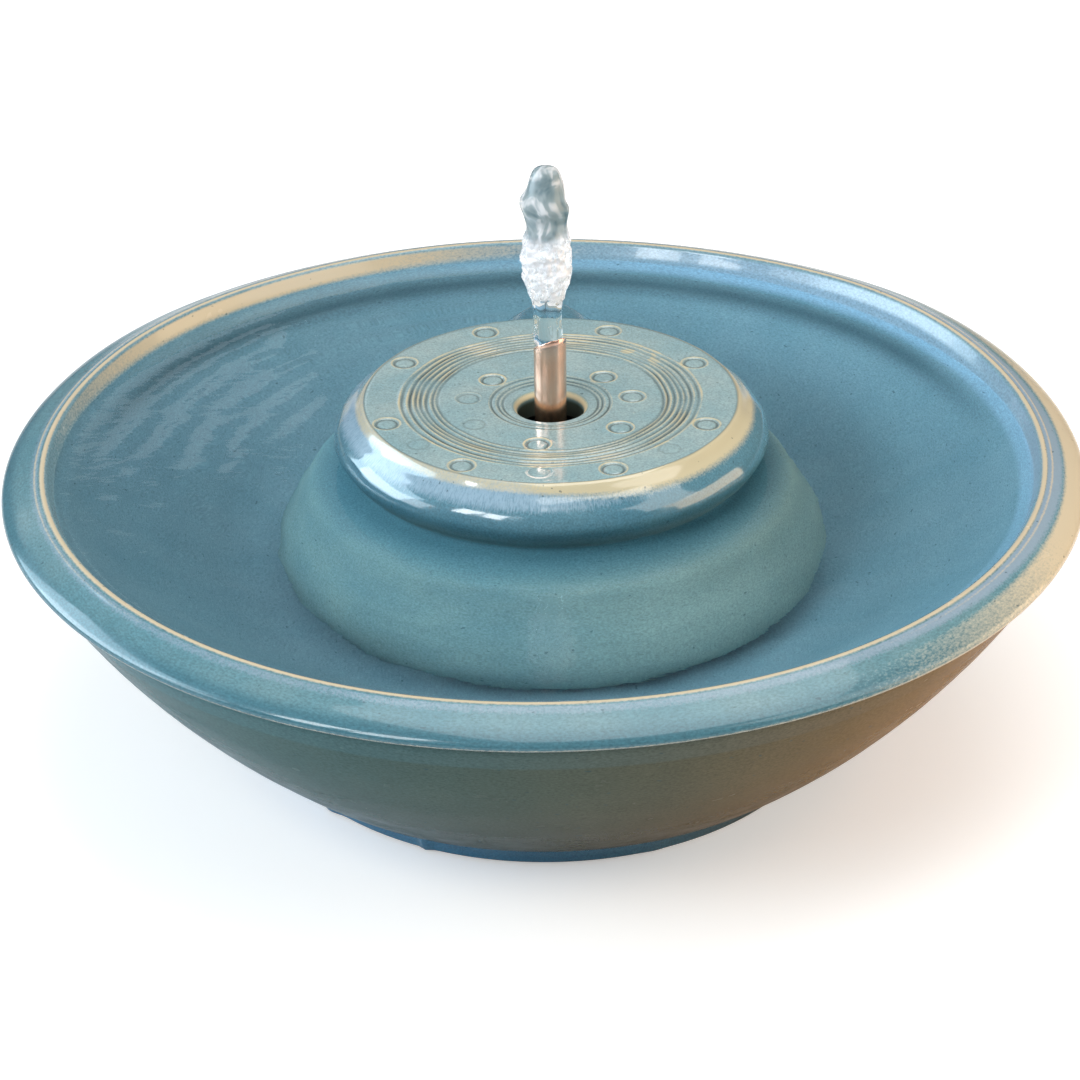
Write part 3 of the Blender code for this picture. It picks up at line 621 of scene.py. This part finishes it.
def disc_marks(x, y, turned_radius, angle, seed_points):
    """Height, cream and dark masks of everything thrown and carved into the disc's top."""
    height, cream, dark = stamp_marks(x, y)
    wander = noise_at(seed_points, 14.0, 3.0)
    fade = 0.65 + 0.5 * noise_at(seed_points, 9.0, 5.0)
    smudge = np.exp(-((np.degrees(angle) - 47) / 15) ** 2)
    for k, groove in enumerate(GROOVES):
        shift = 0.45 * wander + 0.25 * np.sin(angle * 2 + k * 1.7)
        line = bump(turned_radius + shift, groove, 0.40) * np.clip(fade + 0.1 * (k % 3), 0.5, 1)
        ridge = bump(turned_radius + shift, groove + 0.84, 0.46)
        line = line * (1 - 0.6 * smudge)
        height += -0.42 * line + 0.14 * ridge
        dark += (1.1 if k % 2 else 0.85) * line
        cream += ridge * np.clip(fade, 0.45, 1)
    shift = 0.20 * wander
    for groove in HOLE_GROOVES:
        line = bump(turned_radius + shift, groove, 0.30) * np.clip(fade + 0.1, 0.3, 1)
        height += -0.30 * line
        dark += line
        cream += 0.50 * bump(turned_radius + shift, groove + 0.7, 0.35)
    rough = noise_at(seed_points, 3.2, 8.0)
    height += 0.25 * smudge * rough * bump(turned_radius, 40, 5)
    cream += 0.5 * smudge * (rough > 0.1) * bump(turned_radius, 40, 5)
    height -= 0.12 * bump(turned_radius, DISC_R - 0.4, 0.3)
    return height, cream, dark


def build_cover():
    profile, label = cover_profile()
    columns = 640
    top = (label == DISC) | (label == HOLE) | ((label == CEILING) & (profile[:, 0] < 30))
    follow = np.interp(profile[:, 0], [HOLE_R, 16, 33, 45, DISC_R], [1.0, 0.68, 0.22, 0.17, 0.0])
    centres = np.zeros((len(profile), 2))
    centres[:, 1] = HOLE_Y * follow * top
    points, angle = turn(profile, columns, centres)
    x, y, z = (points[..., i].copy() for i in range(3))
    turned = np.repeat(profile[:, 0][:, None], columns, axis=1)
    skirt = (label == SKIRT)[:, None]
    bead = (label == BEAD)[:, None]
    disc = (label == DISC)[:, None]
    hole = (label == HOLE)[:, None]
    ceiling = (label == CEILING)[:, None]
    angles = np.repeat(angle[None, :], len(profile), axis=0)
    signed = np.where(angles > math.pi, angles - 2 * math.pi, angles)

    seed = np.dstack([x, y, z])
    wobble = noise_at(seed, 30.0, 2.0)
    out = 0.35 * wobble * (skirt | bead)
    out = out + (0.03 * np.sin(z * 0.9 + wobble) + 0.015 * np.sin(z * 2.6)) * skirt
    out = out + 0.25 * noise_at(seed, 11.0, 6.0) * bead
    lip_angle = np.abs(np.degrees(signed) - 90) / 17.0
    pull = np.clip(1 - lip_angle, 0, 1)
    level = np.interp(z, [88, 93, 96, 100, 102.2, 104.6], [0, 0.35, 0.9, 1.0, 0.55, 0.0])
    reach = 22.0 * pull ** 1.15 * level * bead
    x += np.cos(angles) * (out + reach)
    y += np.sin(angles) * (out + reach)
    z += 1.2 * pull * level * bead

    height, cream, dark = disc_marks(x, y, turned, signed, np.dstack([x, y, 0 * z]))
    z += height * disc + 0.12 * wobble * disc
    points = np.dstack([x + COVER_X, y, z])

    near = (np.abs(x) < MOUSE_HOLE_R + 0.2) & (y > 55) & (z < MOUSE_HOLE_Z + MOUSE_HOLE_R)
    arch = MOUSE_HOLE_Z + np.sqrt(np.clip(MOUSE_HOLE_R ** 2 - x ** 2, 0, None))
    in_mouse_hole = near & (z < arch) & (skirt | ceiling)
    points[..., 2] = np.where(in_mouse_hole, arch, z)

    obj = grid_object("pump_cover_glazed", points, close_rows=True)
    flow = np.dstack([np.cos(angles) * 60, np.sin(angles) * 60,
                      np.repeat(arc_length(profile)[:, None], columns, axis=1)]) * MM
    flow = np.where(disc[..., None], points * MM, flow)
    add_vectors(obj, "flow", flow.reshape(-1, 3))
    bevel = bead * (0.25 * step_up(z, 102.6, 104.6) + 0.75 * step_up(z, 104.4, 105.8))
    beak = bead * (pull > 0.02)
    lip_edge = beak * bump(z, 99.5, 0.8) * 0.6
    hole_edge = hole * bump(z, DISC_Z - 0.9, 0.8) * 0.9
    # warm_lit_side marks the right, where warm light falls; the bevel's extra cream there is painted
    # warm light
    warm_lit_side = step_up(np.cos(angles + 0.35), 0.1, 1.0)
    bevel = (0.60 + 0.3 * warm_lit_side) * bevel + bead * step_up(z, 100.6, 105.2) * 0.75 * warm_lit_side
    bevel = bevel * (1 - 0.8 * beak)
    all_cream = cream * disc + bevel + hole_edge + lip_edge
    add_floats(obj, "cream", np.clip(all_cream, 0, 1).ravel())
    edge = bump(turned, DISC_R - 0.15, 0.22)
    # Painted shade: the hole darkening below its rim, and a painted shadow on the ceiling near the
    # hole
    painted_depth_shade = hole * (1 - step_up(z, 104.4, 106.4))
    shadow = ceiling * (turned < 36) * 0.8
    add_floats(obj, "dark", np.clip(dark * disc + 0.7 * edge + painted_depth_shade + shadow, 0, 1).ravel())
    add_floats(obj, "disc", np.maximum(disc + bead * step_up(z, 104.0, 107.0), 0.8 * beak).ravel())
    add_floats(obj, "bead", (bead * step_up(z, 90.0, 96.0)).ravel())
    bloom = bead * step_up(z, 98.0, 103.0) * (0.60 - 0.25 * warm_lit_side) * (pull < 0.01)
    add_floats(obj, "lavender", np.clip(bloom, 0, 1).ravel())
    dry = step_up(z, 96.6, 97.6)
    shine = (1.7 - 0.1 * disc) * dry * (label < HOLE)[:, None]
    add_floats(obj, "gloss", (shine * (1 - 0.7 * (pull * bead > 0))).ravel())
    # Painted shade under the bead, fading up the bead's underside
    shade = (bead | skirt) * (1 - dry) * step_up(z, 72.0, 85.0) * (1 - 0.6 * step_up(z, 86.5, 90))
    add_floats(obj, "painted_under_bead_shade", (shade * np.ones_like(z)).ravel())
    # Painted light on the skirt's right side
    add_floats(obj, "painted_sunlit_side", (skirt * warm_lit_side * 0.75).ravel())
    dress(obj, cover_glaze(), "cover", ["pump_cover"])


# ---------------------------------------------------------------- copper spout

def copper():
    shader = Shader("drawn_copper")
    at = shader.position()
    streak = shader.noise(shader.stretch(at, (1500, 1500, 22)), 1.0, 2.0, 0.5)
    tarnish = shader.noise(at, 140.0, 3.0, 0.6)
    colour = shader.ramp(tarnish, [(0.35, (0.88, 0.55, 0.42)), (0.65, (0.97, 0.66, 0.52))])
    colour = shader.mix(shader.ramp(streak, [(0.3, 0.30), (0.6, 0.0)]), colour, (0.60, 0.30, 0.18))
    rough = shader.ramp(streak, [(0.3, 0.26), (0.7, 0.18)])
    shader.set(Base_Color=colour, Metallic=1.0, Roughness=rough)
    shader.set(Normal=shader.bump(streak, 0.12, 0.00008))
    return shader.material


def build_spout():
    columns = 96
    ring = [(SPOUT_BORE_R, 0, 0), (SPOUT_R - 0.25, 0, 0), (SPOUT_R, 0, 0.25)]
    for k in range(1, 24):
        ring.append((SPOUT_R, k / 24, 0))
    ring += [(SPOUT_R, 1, -0.22), (SPOUT_R - 0.10, 1, -0.02), (SPOUT_R - 0.35, 1, 0.03),
             (SPOUT_BORE_R + 0.15, 1, 0.0), (SPOUT_BORE_R, 1, -0.2), (SPOUT_BORE_R, 0.5, 0)]
    angle = np.linspace(0, 2 * math.pi, columns, endpoint=False)
    rows = []
    for radius, share, lift in ring:
        x = radius * np.cos(angle)
        y = radius * np.sin(angle)
        dent = 0.05 * np.sin(2 * angle + share * 9) * np.sin(math.pi * share)
        x = x * (1 + dent * 0.12)
        top = SPOUT_TOP_Z + SPOUT_CUT[0] * x + SPOUT_CUT[1] * y
        top = top + 0.10 * np.sin(7 * angle) + 0.06 * np.sin(13 * angle + 1)
        z = SPOUT_BOTTOM_Z + (top - SPOUT_BOTTOM_Z) * share + lift
        rows.append(np.column_stack([x + SPOUT[0], y + SPOUT[1], z]))
    obj = grid_object("spout_tube", np.array(rows), close_rows=True)
    dress(obj, copper(), "spout", ["copper_spout"])


# ---------------------------------------------------------------- water

def clear_water(name, tint, froth=False):
    """Refracting water that lets light straight through to what lies under it."""
    shader = Shader(name)
    tree = shader.tree
    at = shader.position()
    shader.set(Base_Color=tint, Roughness=0.0, IOR=1.333, Transmission_Weight=1.0)
    if froth:
        lumps = shader.noise(shader.stretch(at, (1, 1, 0.6)), 420.0, 4.0, 0.65, 1.2)
        foam = shader.attribute("froth")
        white = shader.math("MULTIPLY", shader.ramp(lumps, [(0.38, 0.15), (0.56, 0.96)]), foam)
        folds = shader.noise(shader.stretch(at, (1.0, 1.0, 0.7)), 130.0, 2.0, 0.5, 1.5)
        grey = shader.math("MULTIPLY", shader.attribute("crown"), 0.62)
        solid = shader.math("MAXIMUM", white, grey)
        crest = shader.ramp(folds, [(0.30, (0.16, 0.24, 0.27)), (0.50, (0.34, 0.42, 0.44)),
                                    (0.60, (0.80, 0.82, 0.84))])
        body = shader.mix(shader.attribute("crown"), tint, crest)
        shader.set(Transmission_Weight=shader.math("SUBTRACT", 1.0, solid, True))
        shader.set(Base_Color=shader.mix(white, body, (0.90, 0.90, 0.93)))
        shader.set(Roughness=shader.ramp(white, [(0.0, 0.02), (1.0, 0.25)]))
    else:
        ripple = shader.noise(shader.stretch(at, (1.0, 2.2, 1.0)), 75.0, 3.0, 0.5, 0.4)
        shader.set(Normal=shader.bump(ripple, 0.06, 0.0016))
    through = shader.add("ShaderNodeBsdfTransparent", Color=tint)
    path = shader.add("ShaderNodeLightPath")
    blend = shader.add("ShaderNodeMixShader")
    tree.links.new(path.outputs["Is Shadow Ray"], blend.inputs[0])
    tree.links.new(shader.surface.outputs[0], blend.inputs[1])
    tree.links.new(through.outputs[0], blend.inputs[2])
    tree.links.new(blend.outputs[0], shader.output.inputs["Surface"])
    return shader.material


def build_pool():
    """The water in the bowl: a rippled top and a body that reaches just into the glaze."""
    radii = np.concatenate([[0.5], np.arange(3, 142, 1.6), np.linspace(142.5, WATER_R, 6)])
    top = np.column_stack([radii, np.full(len(radii), WATER_Z)])
    body = smooth_curve([(WATER_R, WATER_Z), (WATER_R - 0.4, 87.6), (142.8, 82.6), (140.0, 77.2),
                         (134.4, 67.6), (125.2, 53.4), (114.8, 39.6), (104.8, 28.0),
                         (97.0, 20.6), (88.0, 15.9), (76.0, FLOOR_Z - 1.0),
                         (0.5, FLOOR_Z - 1.0)], 6.0)
    profile = chain(top, body)
    points = turn(profile[::-1], 360)[0]
    x, y, z = (points[..., i] for i in range(3))
    surface = z > WATER_Z - 0.01
    reach = np.hypot(x, y)
    flat = np.dstack([x, y * 1.6, 0 * z])
    swell = noise_at(flat, 26.0, 4.0) + 0.45 * noise_at(flat, 11.0, 7.0)
    calm = 1 - step_up(reach, 128, 145)
    stronger = 0.22 + 0.78 * step_up(-x + 0.9 * y, 20, 120)
    from_jet = np.hypot(x - SPOUT[0], y - SPOUT[1])
    rings = np.sin(from_jet * 0.50 + 0.9 * swell) * step_up(reach, 66, 90)
    points[..., 2] += surface * stronger * calm * (0.05 * swell + 0.24 * rings * (0.5 + swell))
    points[..., 2] += surface * 0.7 * np.exp(-(WATER_R - 1.2 - reach).clip(0) / 1.1)
    points = thrown(points, 0.0)
    obj = grid_object("pool_water", points, cap_start=True, cap_end=True)
    dress(obj, clear_water("pool_water", (0.82, 0.93, 0.98)), "basin")


def build_jet():
    """The plume: a clear neck, a frothy middle and a clear rolling crown that leans left."""
    outline = smooth_curve(PLUME, 0.35)
    columns = 150
    angle = np.linspace(0, 2 * math.pi, columns, endpoint=False)
    height = np.repeat(outline[:, 0][:, None], columns, axis=1)
    x = outline[:, 1][:, None] * np.cos(angle)
    y = outline[:, 1][:, None] * np.sin(angle)
    seed = np.dstack([x, y, height])
    above_tube = step_up(height, 126.0, 130.0)
    round_it = np.arctan2(y, x)
    large = noise_at(seed, 4.6, 1.0)
    small = noise_at(seed, 1.9, 2.0)
    tiny = noise_at(seed, 0.8, 3.0)
    edge = 1.6 * large
    froth = step_up(height + edge, 141.0, 144.5) * (1 - step_up(height + edge, 158.0, 164.5))
    crown = step_up(height, 158.0, 164.0)
    ribs = np.sin(7 * round_it + 0.10 * height) * (1 - step_up(height, 139, 144))
    folds = np.sin(2 * round_it + 0.42 * height) * crown
    grow = 1 + 0.022 * ribs * above_tube + 0.04 * large * above_tube * (1 - froth)
    grow = grow + froth * (0.09 * large + 0.11 * small + 0.06 * tiny)
    grow = grow + crown * (0.05 * folds + 0.05 * large) * (1 - step_up(height, 176, 181))
    size = np.minimum(np.hypot(x, y) * grow, 8.4)
    drop = 0.5 * small * froth
    aside = PLUME_LEAN * above_tube + PLUME_NOD * bump(height, CROWN_Z, 3.0)
    points = np.dstack([size * np.cos(round_it) + SPOUT[0] + aside,
                        size * np.sin(round_it) + SPOUT[1], height + drop])
    obj = grid_object("water_plume", points, cap_start=True, cap_end=True)
    add_floats(obj, "froth", froth.ravel())
    add_floats(obj, "crown", crown.ravel())
    dress(obj, clear_water("plume_water", (0.96, 0.98, 0.99), True), "spout",
          ["water_jet"])


# ---------------------------------------------------------------- pump materials

def plastic(name, colour, roughness, grain=900.0, depth=0.00006):
    shader = Shader(name)
    at = shader.position()
    mottle = shader.noise(at, 60.0, 3.0, 0.6)
    light = tuple(min(1.0, c * 1.35 + 0.006) for c in colour)
    shader.set(Base_Color=shader.ramp(mottle, [(0.3, colour), (0.75, light)]))
    texture = shader.noise(at, grain, 2.0, 0.6)
    shader.set(Roughness=shader.ramp(mottle, [(0.3, roughness), (0.7, roughness * 1.3)]))
    shader.set(Normal=shader.bump(texture, 0.35, depth))
    return shader


def metal(name, colour, roughness, stretch):
    shader = Shader(name)
    at = shader.position()
    lines = shader.noise(shader.stretch(at, stretch), 1.0, 3.0, 0.6)
    dark = tuple(c * 0.72 for c in colour)
    shader.set(Base_Color=shader.ramp(lines, [(0.3, dark), (0.7, colour)]), Metallic=1.0)
    shader.set(Roughness=shader.ramp(lines, [(0.3, roughness * 1.5), (0.7, roughness)]))
    shader.set(Normal=shader.bump(lines, 0.25, 0.00006))
    return shader


def banded(name, first, second, period, axis, metallic, roughness):
    """Fine parallel bands, for stacked laminations and wound wire."""
    shader = Shader(name)
    at = shader.position()
    split = shader.add("ShaderNodeSeparateXYZ", Vector=at)
    wave = shader.math("SINE", shader.math("MULTIPLY", split.outputs[axis], 2 * math.pi / period))
    wave = shader.math("MULTIPLY_ADD", wave, 0.5)
    shader.feed(wave.node, "2", 0.5)
    shader.set(Base_Color=shader.ramp(wave, [(0.15, first), (0.6, second)]), Metallic=metallic)
    shader.set(Roughness=roughness, Normal=shader.bump(wave, 0.8, 0.00012))
    return shader


def build_cord(node):
    """The cord, moved with the hand-thrown bowl from where it leaves the cover outwards."""
    mesh = node.data.copy()
    mesh.name = "cord_laid"
    mesh.transform(node.matrix_world)
    points = np.array([vertex.co for vertex in mesh.vertices]) / MM
    share = step_up(points[:, 1], 60, 100)[:, None]
    points = points + share * (thrown(points) - points)
    mesh.vertices.foreach_set("co", (points * MM).ravel())
    mesh.shade_smooth()
    obj = bpy.data.objects.new("cord_laid", mesh)
    bpy.context.scene.collection.objects.link(obj)
    material = plastic("cord_vinyl", (0.022, 0.022, 0.025), 0.38, 2000.0).material
    dress(obj, material, "basin", ["power_cord"])


def dress_pump(nodes):
    housing = plastic("housing_plastic", (0.030, 0.031, 0.035), 0.42).material
    trim = plastic("trim_plastic", (0.050, 0.052, 0.058), 0.34).material
    resin = plastic("potting_resin", (0.018, 0.018, 0.020), 0.18, 240.0, 0.0002).material
    nylon = plastic("natural_nylon", (0.70, 0.68, 0.60), 0.40).material
    white = plastic("impeller_nylon", (0.78, 0.79, 0.78), 0.32).material
    ferrite = plastic("ferrite", (0.060, 0.060, 0.064), 0.36, 1500.0, 0.00008).material
    rubber = plastic("black_rubber", (0.030, 0.030, 0.032), 0.62, 1300.0).material
    foam = plastic("open_foam", (0.035, 0.036, 0.040), 0.95, 1100.0, 0.0009).material
    yellow = plastic("plug_insulator", (0.70, 0.52, 0.08), 0.42).material
    cups = plastic("clear_rubber", (0.55, 0.61, 0.63), 0.25)
    cups.set(Transmission_Weight=0.55, IOR=1.45)
    sleeve = plastic("clear_vinyl", (0.80, 0.83, 0.80), 0.16)
    sleeve.set(Transmission_Weight=0.8, IOR=1.48)
    steel = metal("polished_steel", (0.72, 0.73, 0.75), 0.16, (400, 400, 400)).material
    stack = banded("laminations", (0.16, 0.16, 0.17), (0.50, 0.50, 0.51), 0.0005, 1, 1.0, 0.38)
    wire = banded("enamel_wire", (0.25, 0.07, 0.02), (0.80, 0.36, 0.14), 0.0004, 0, 0.9, 0.25)
    looks = {
        "pump_housing": housing, "flow_dial": housing, "volute_cover": trim,
        "intake_cover": trim, "plug_body": trim, "potting_plate": resin, "coil_bobbin": nylon,
        "impeller": white, "rotor_magnet": ferrite, "cord_gland": rubber,
        "rear_bushing": rubber, "front_bushing": rubber, "chamber_seal": rubber,
        "foam_filter": foam, "plug_insulator": yellow,
        "rotor_shaft": steel, "plug_barrel": steel, "outlet_sleeve": sleeve.material,
        "stator_core": stack.material, "coil_winding": wire.material,
    }
    for number in range(1, 5):
        looks[f"suction_cup_{number}"] = cups.material
    for name, material in looks.items():
        node = nodes[name]
        node.data.materials.clear()
        node.data.materials.append(material)


# ---------------------------------------------------------------- stage, light, camera

def build_floor():
    shader = Shader("pale_floor")
    at = shader.position()
    mottle = shader.noise(at, 3.0, 3.0, 0.5)
    shader.set(Base_Color=shader.ramp(mottle, [(0.3, (0.86, 0.86, 0.865)),
                                               (0.7, (0.88, 0.88, 0.88))]))
    seen = shader.add("ShaderNodeLightPath").outputs["Is Camera Ray"]
    shader.set(Roughness=0.75, Specular_IOR_Level=0.2, Emission_Color=(1.0, 1.0, 1.0))
    shader.set(Emission_Strength=shader.math("MULTIPLY", seen, FLOOR_LIFT))
    mesh = bpy.data.meshes.new("floor")
    corners = [(x * FLOOR_HALF, y * FLOOR_HALF, 0) for x, y in ((-1, -1), (1, -1), (1, 1), (-1, 1))]
    mesh.from_pydata(corners, [], [(0, 1, 2, 3)])
    floor = bpy.data.objects.new("floor", mesh)
    bpy.context.scene.collection.objects.link(floor)
    floor.data.materials.append(shader.material)
    floor.location.z = -FLOOR_DROP


def area_light(name, place, target, size, power, colour, only_reflected=False):
    """A soft panel aimed at target. only_reflected keeps its light off matt surfaces."""
    data = bpy.data.lights.new(name, "AREA")
    data.shape = "RECTANGLE"
    data.size, data.size_y = size
    data.energy = power
    data.color = colour
    lamp = bpy.data.objects.new(name, data)
    lamp.location = place
    lamp.visible_diffuse = not only_reflected
    direction = Vector(target) - Vector(place)
    lamp.rotation_euler = direction.to_track_quat("-Z", "Y").to_euler()
    bpy.context.scene.collection.objects.link(lamp)


def build_light():
    for side in (-1, 1):
        area_light("window", (-0.60 + 0.11 * side, -0.70 - 0.09 * side, 0.88), (0, 0, 0.07),
                   (0.22, 0.44), 3.4, (0.93, 0.97, 1.0))
    area_light("side_window", (-1.35, 0.0, 0.60), (0, 0, 0.08), (1.3, 0.55), 9.0,
               (0.84, 0.93, 1.0))
    area_light("left_panel", (-1.30, 0.25, 0.70), (0, 0, 0.10), (1.2, 0.95), 18.0,
               (0.66, 0.87, 1.0), True)
    area_light("back_strip", (-0.75, 1.50, 0.85), (0, 0, 0.09), (1.1, 0.16), 0.35,
               (0.90, 0.96, 1.0), True)
    area_light("right_fill", (1.00, -0.45, 0.95), (0, 0, 0.08), (0.8, 0.8), 4.0,
               (1.0, 0.96, 0.90))
    area_light("overhead", (0.25, 0.10, 1.60), (0, 0, 0), (1.2, 1.2), 12.0, (1.0, 0.99, 0.97))
    area_light("warm_right", (1.05, -0.10, 0.24), (0, 0, 0.05), (0.9, 0.6), 6.0,
               (1.0, 0.72, 0.45))
    build_world()


def build_world():
    """A sky that lights the scene softly, and a plain backdrop for the camera."""
    world = bpy.data.worlds.new("studio")
    world.use_nodes = True
    tree = world.node_tree
    background = tree.nodes["Background"]
    coords = tree.nodes.new("ShaderNodeTexCoord")
    split = tree.nodes.new("ShaderNodeSeparateXYZ")
    ramp = tree.nodes.new("ShaderNodeValToRGB")
    tree.links.new(coords.outputs["Generated"], split.inputs[0])
    tree.links.new(split.outputs["Z"], ramp.inputs[0])
    ramp.color_ramp.elements[0].position = 0.0
    ramp.color_ramp.elements[0].color = SKY_LOW
    ramp.color_ramp.elements[1].position = 0.85
    ramp.color_ramp.elements[1].color = SKY_HIGH
    tree.links.new(ramp.outputs[0], background.inputs["Color"])
    background.inputs["Strength"].default_value = SKY_STRENGTH
    backdrop = tree.nodes.new("ShaderNodeBackground")
    backdrop.inputs["Color"].default_value = BACKDROP
    seen = tree.nodes.new("ShaderNodeLightPath").outputs["Is Camera Ray"]
    choose = tree.nodes.new("ShaderNodeMixShader")
    tree.links.new(seen, choose.inputs[0])
    tree.links.new(background.outputs[0], choose.inputs[1])
    tree.links.new(backdrop.outputs[0], choose.inputs[2])
    tree.links.new(choose.outputs[0], tree.nodes["World Output"].inputs["Surface"])
    bpy.context.scene.world = world


def build_camera():
    pitch = math.radians(CAMERA_PITCH)
    forward = Vector((0, math.cos(pitch), -math.sin(pitch)))
    right = Vector((1, 0, 0))
    up = right.cross(forward)
    yaw = math.radians(CAMERA_YAW)
    forward = forward * math.cos(yaw) + right * math.sin(yaw)
    right = forward.cross(up)
    roll = math.radians(CAMERA_ROLL)
    turned_right = right * math.cos(roll) + up * math.sin(roll)
    turned_up = up * math.cos(roll) - right * math.sin(roll)
    data = bpy.data.cameras.new("photo_camera")
    data.lens = CAMERA_LENS
    data.sensor_width = 36.0
    camera = bpy.data.objects.new("photo_camera", data)
    axes = Matrix((turned_right, turned_up, -forward)).transposed().to_4x4()
    camera.matrix_world = Matrix.Translation(CAMERA_AT) @ axes
    bpy.context.scene.collection.objects.link(camera)
    bpy.context.scene.camera = camera


build_bowl()
build_cover()
build_spout()
build_pool()
build_jet()
build_cord(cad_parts["power_cord"])
dress_pump(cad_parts)
build_floor()
build_light()
build_camera()
bpy.context.scene.view_settings.view_transform = "Standard"
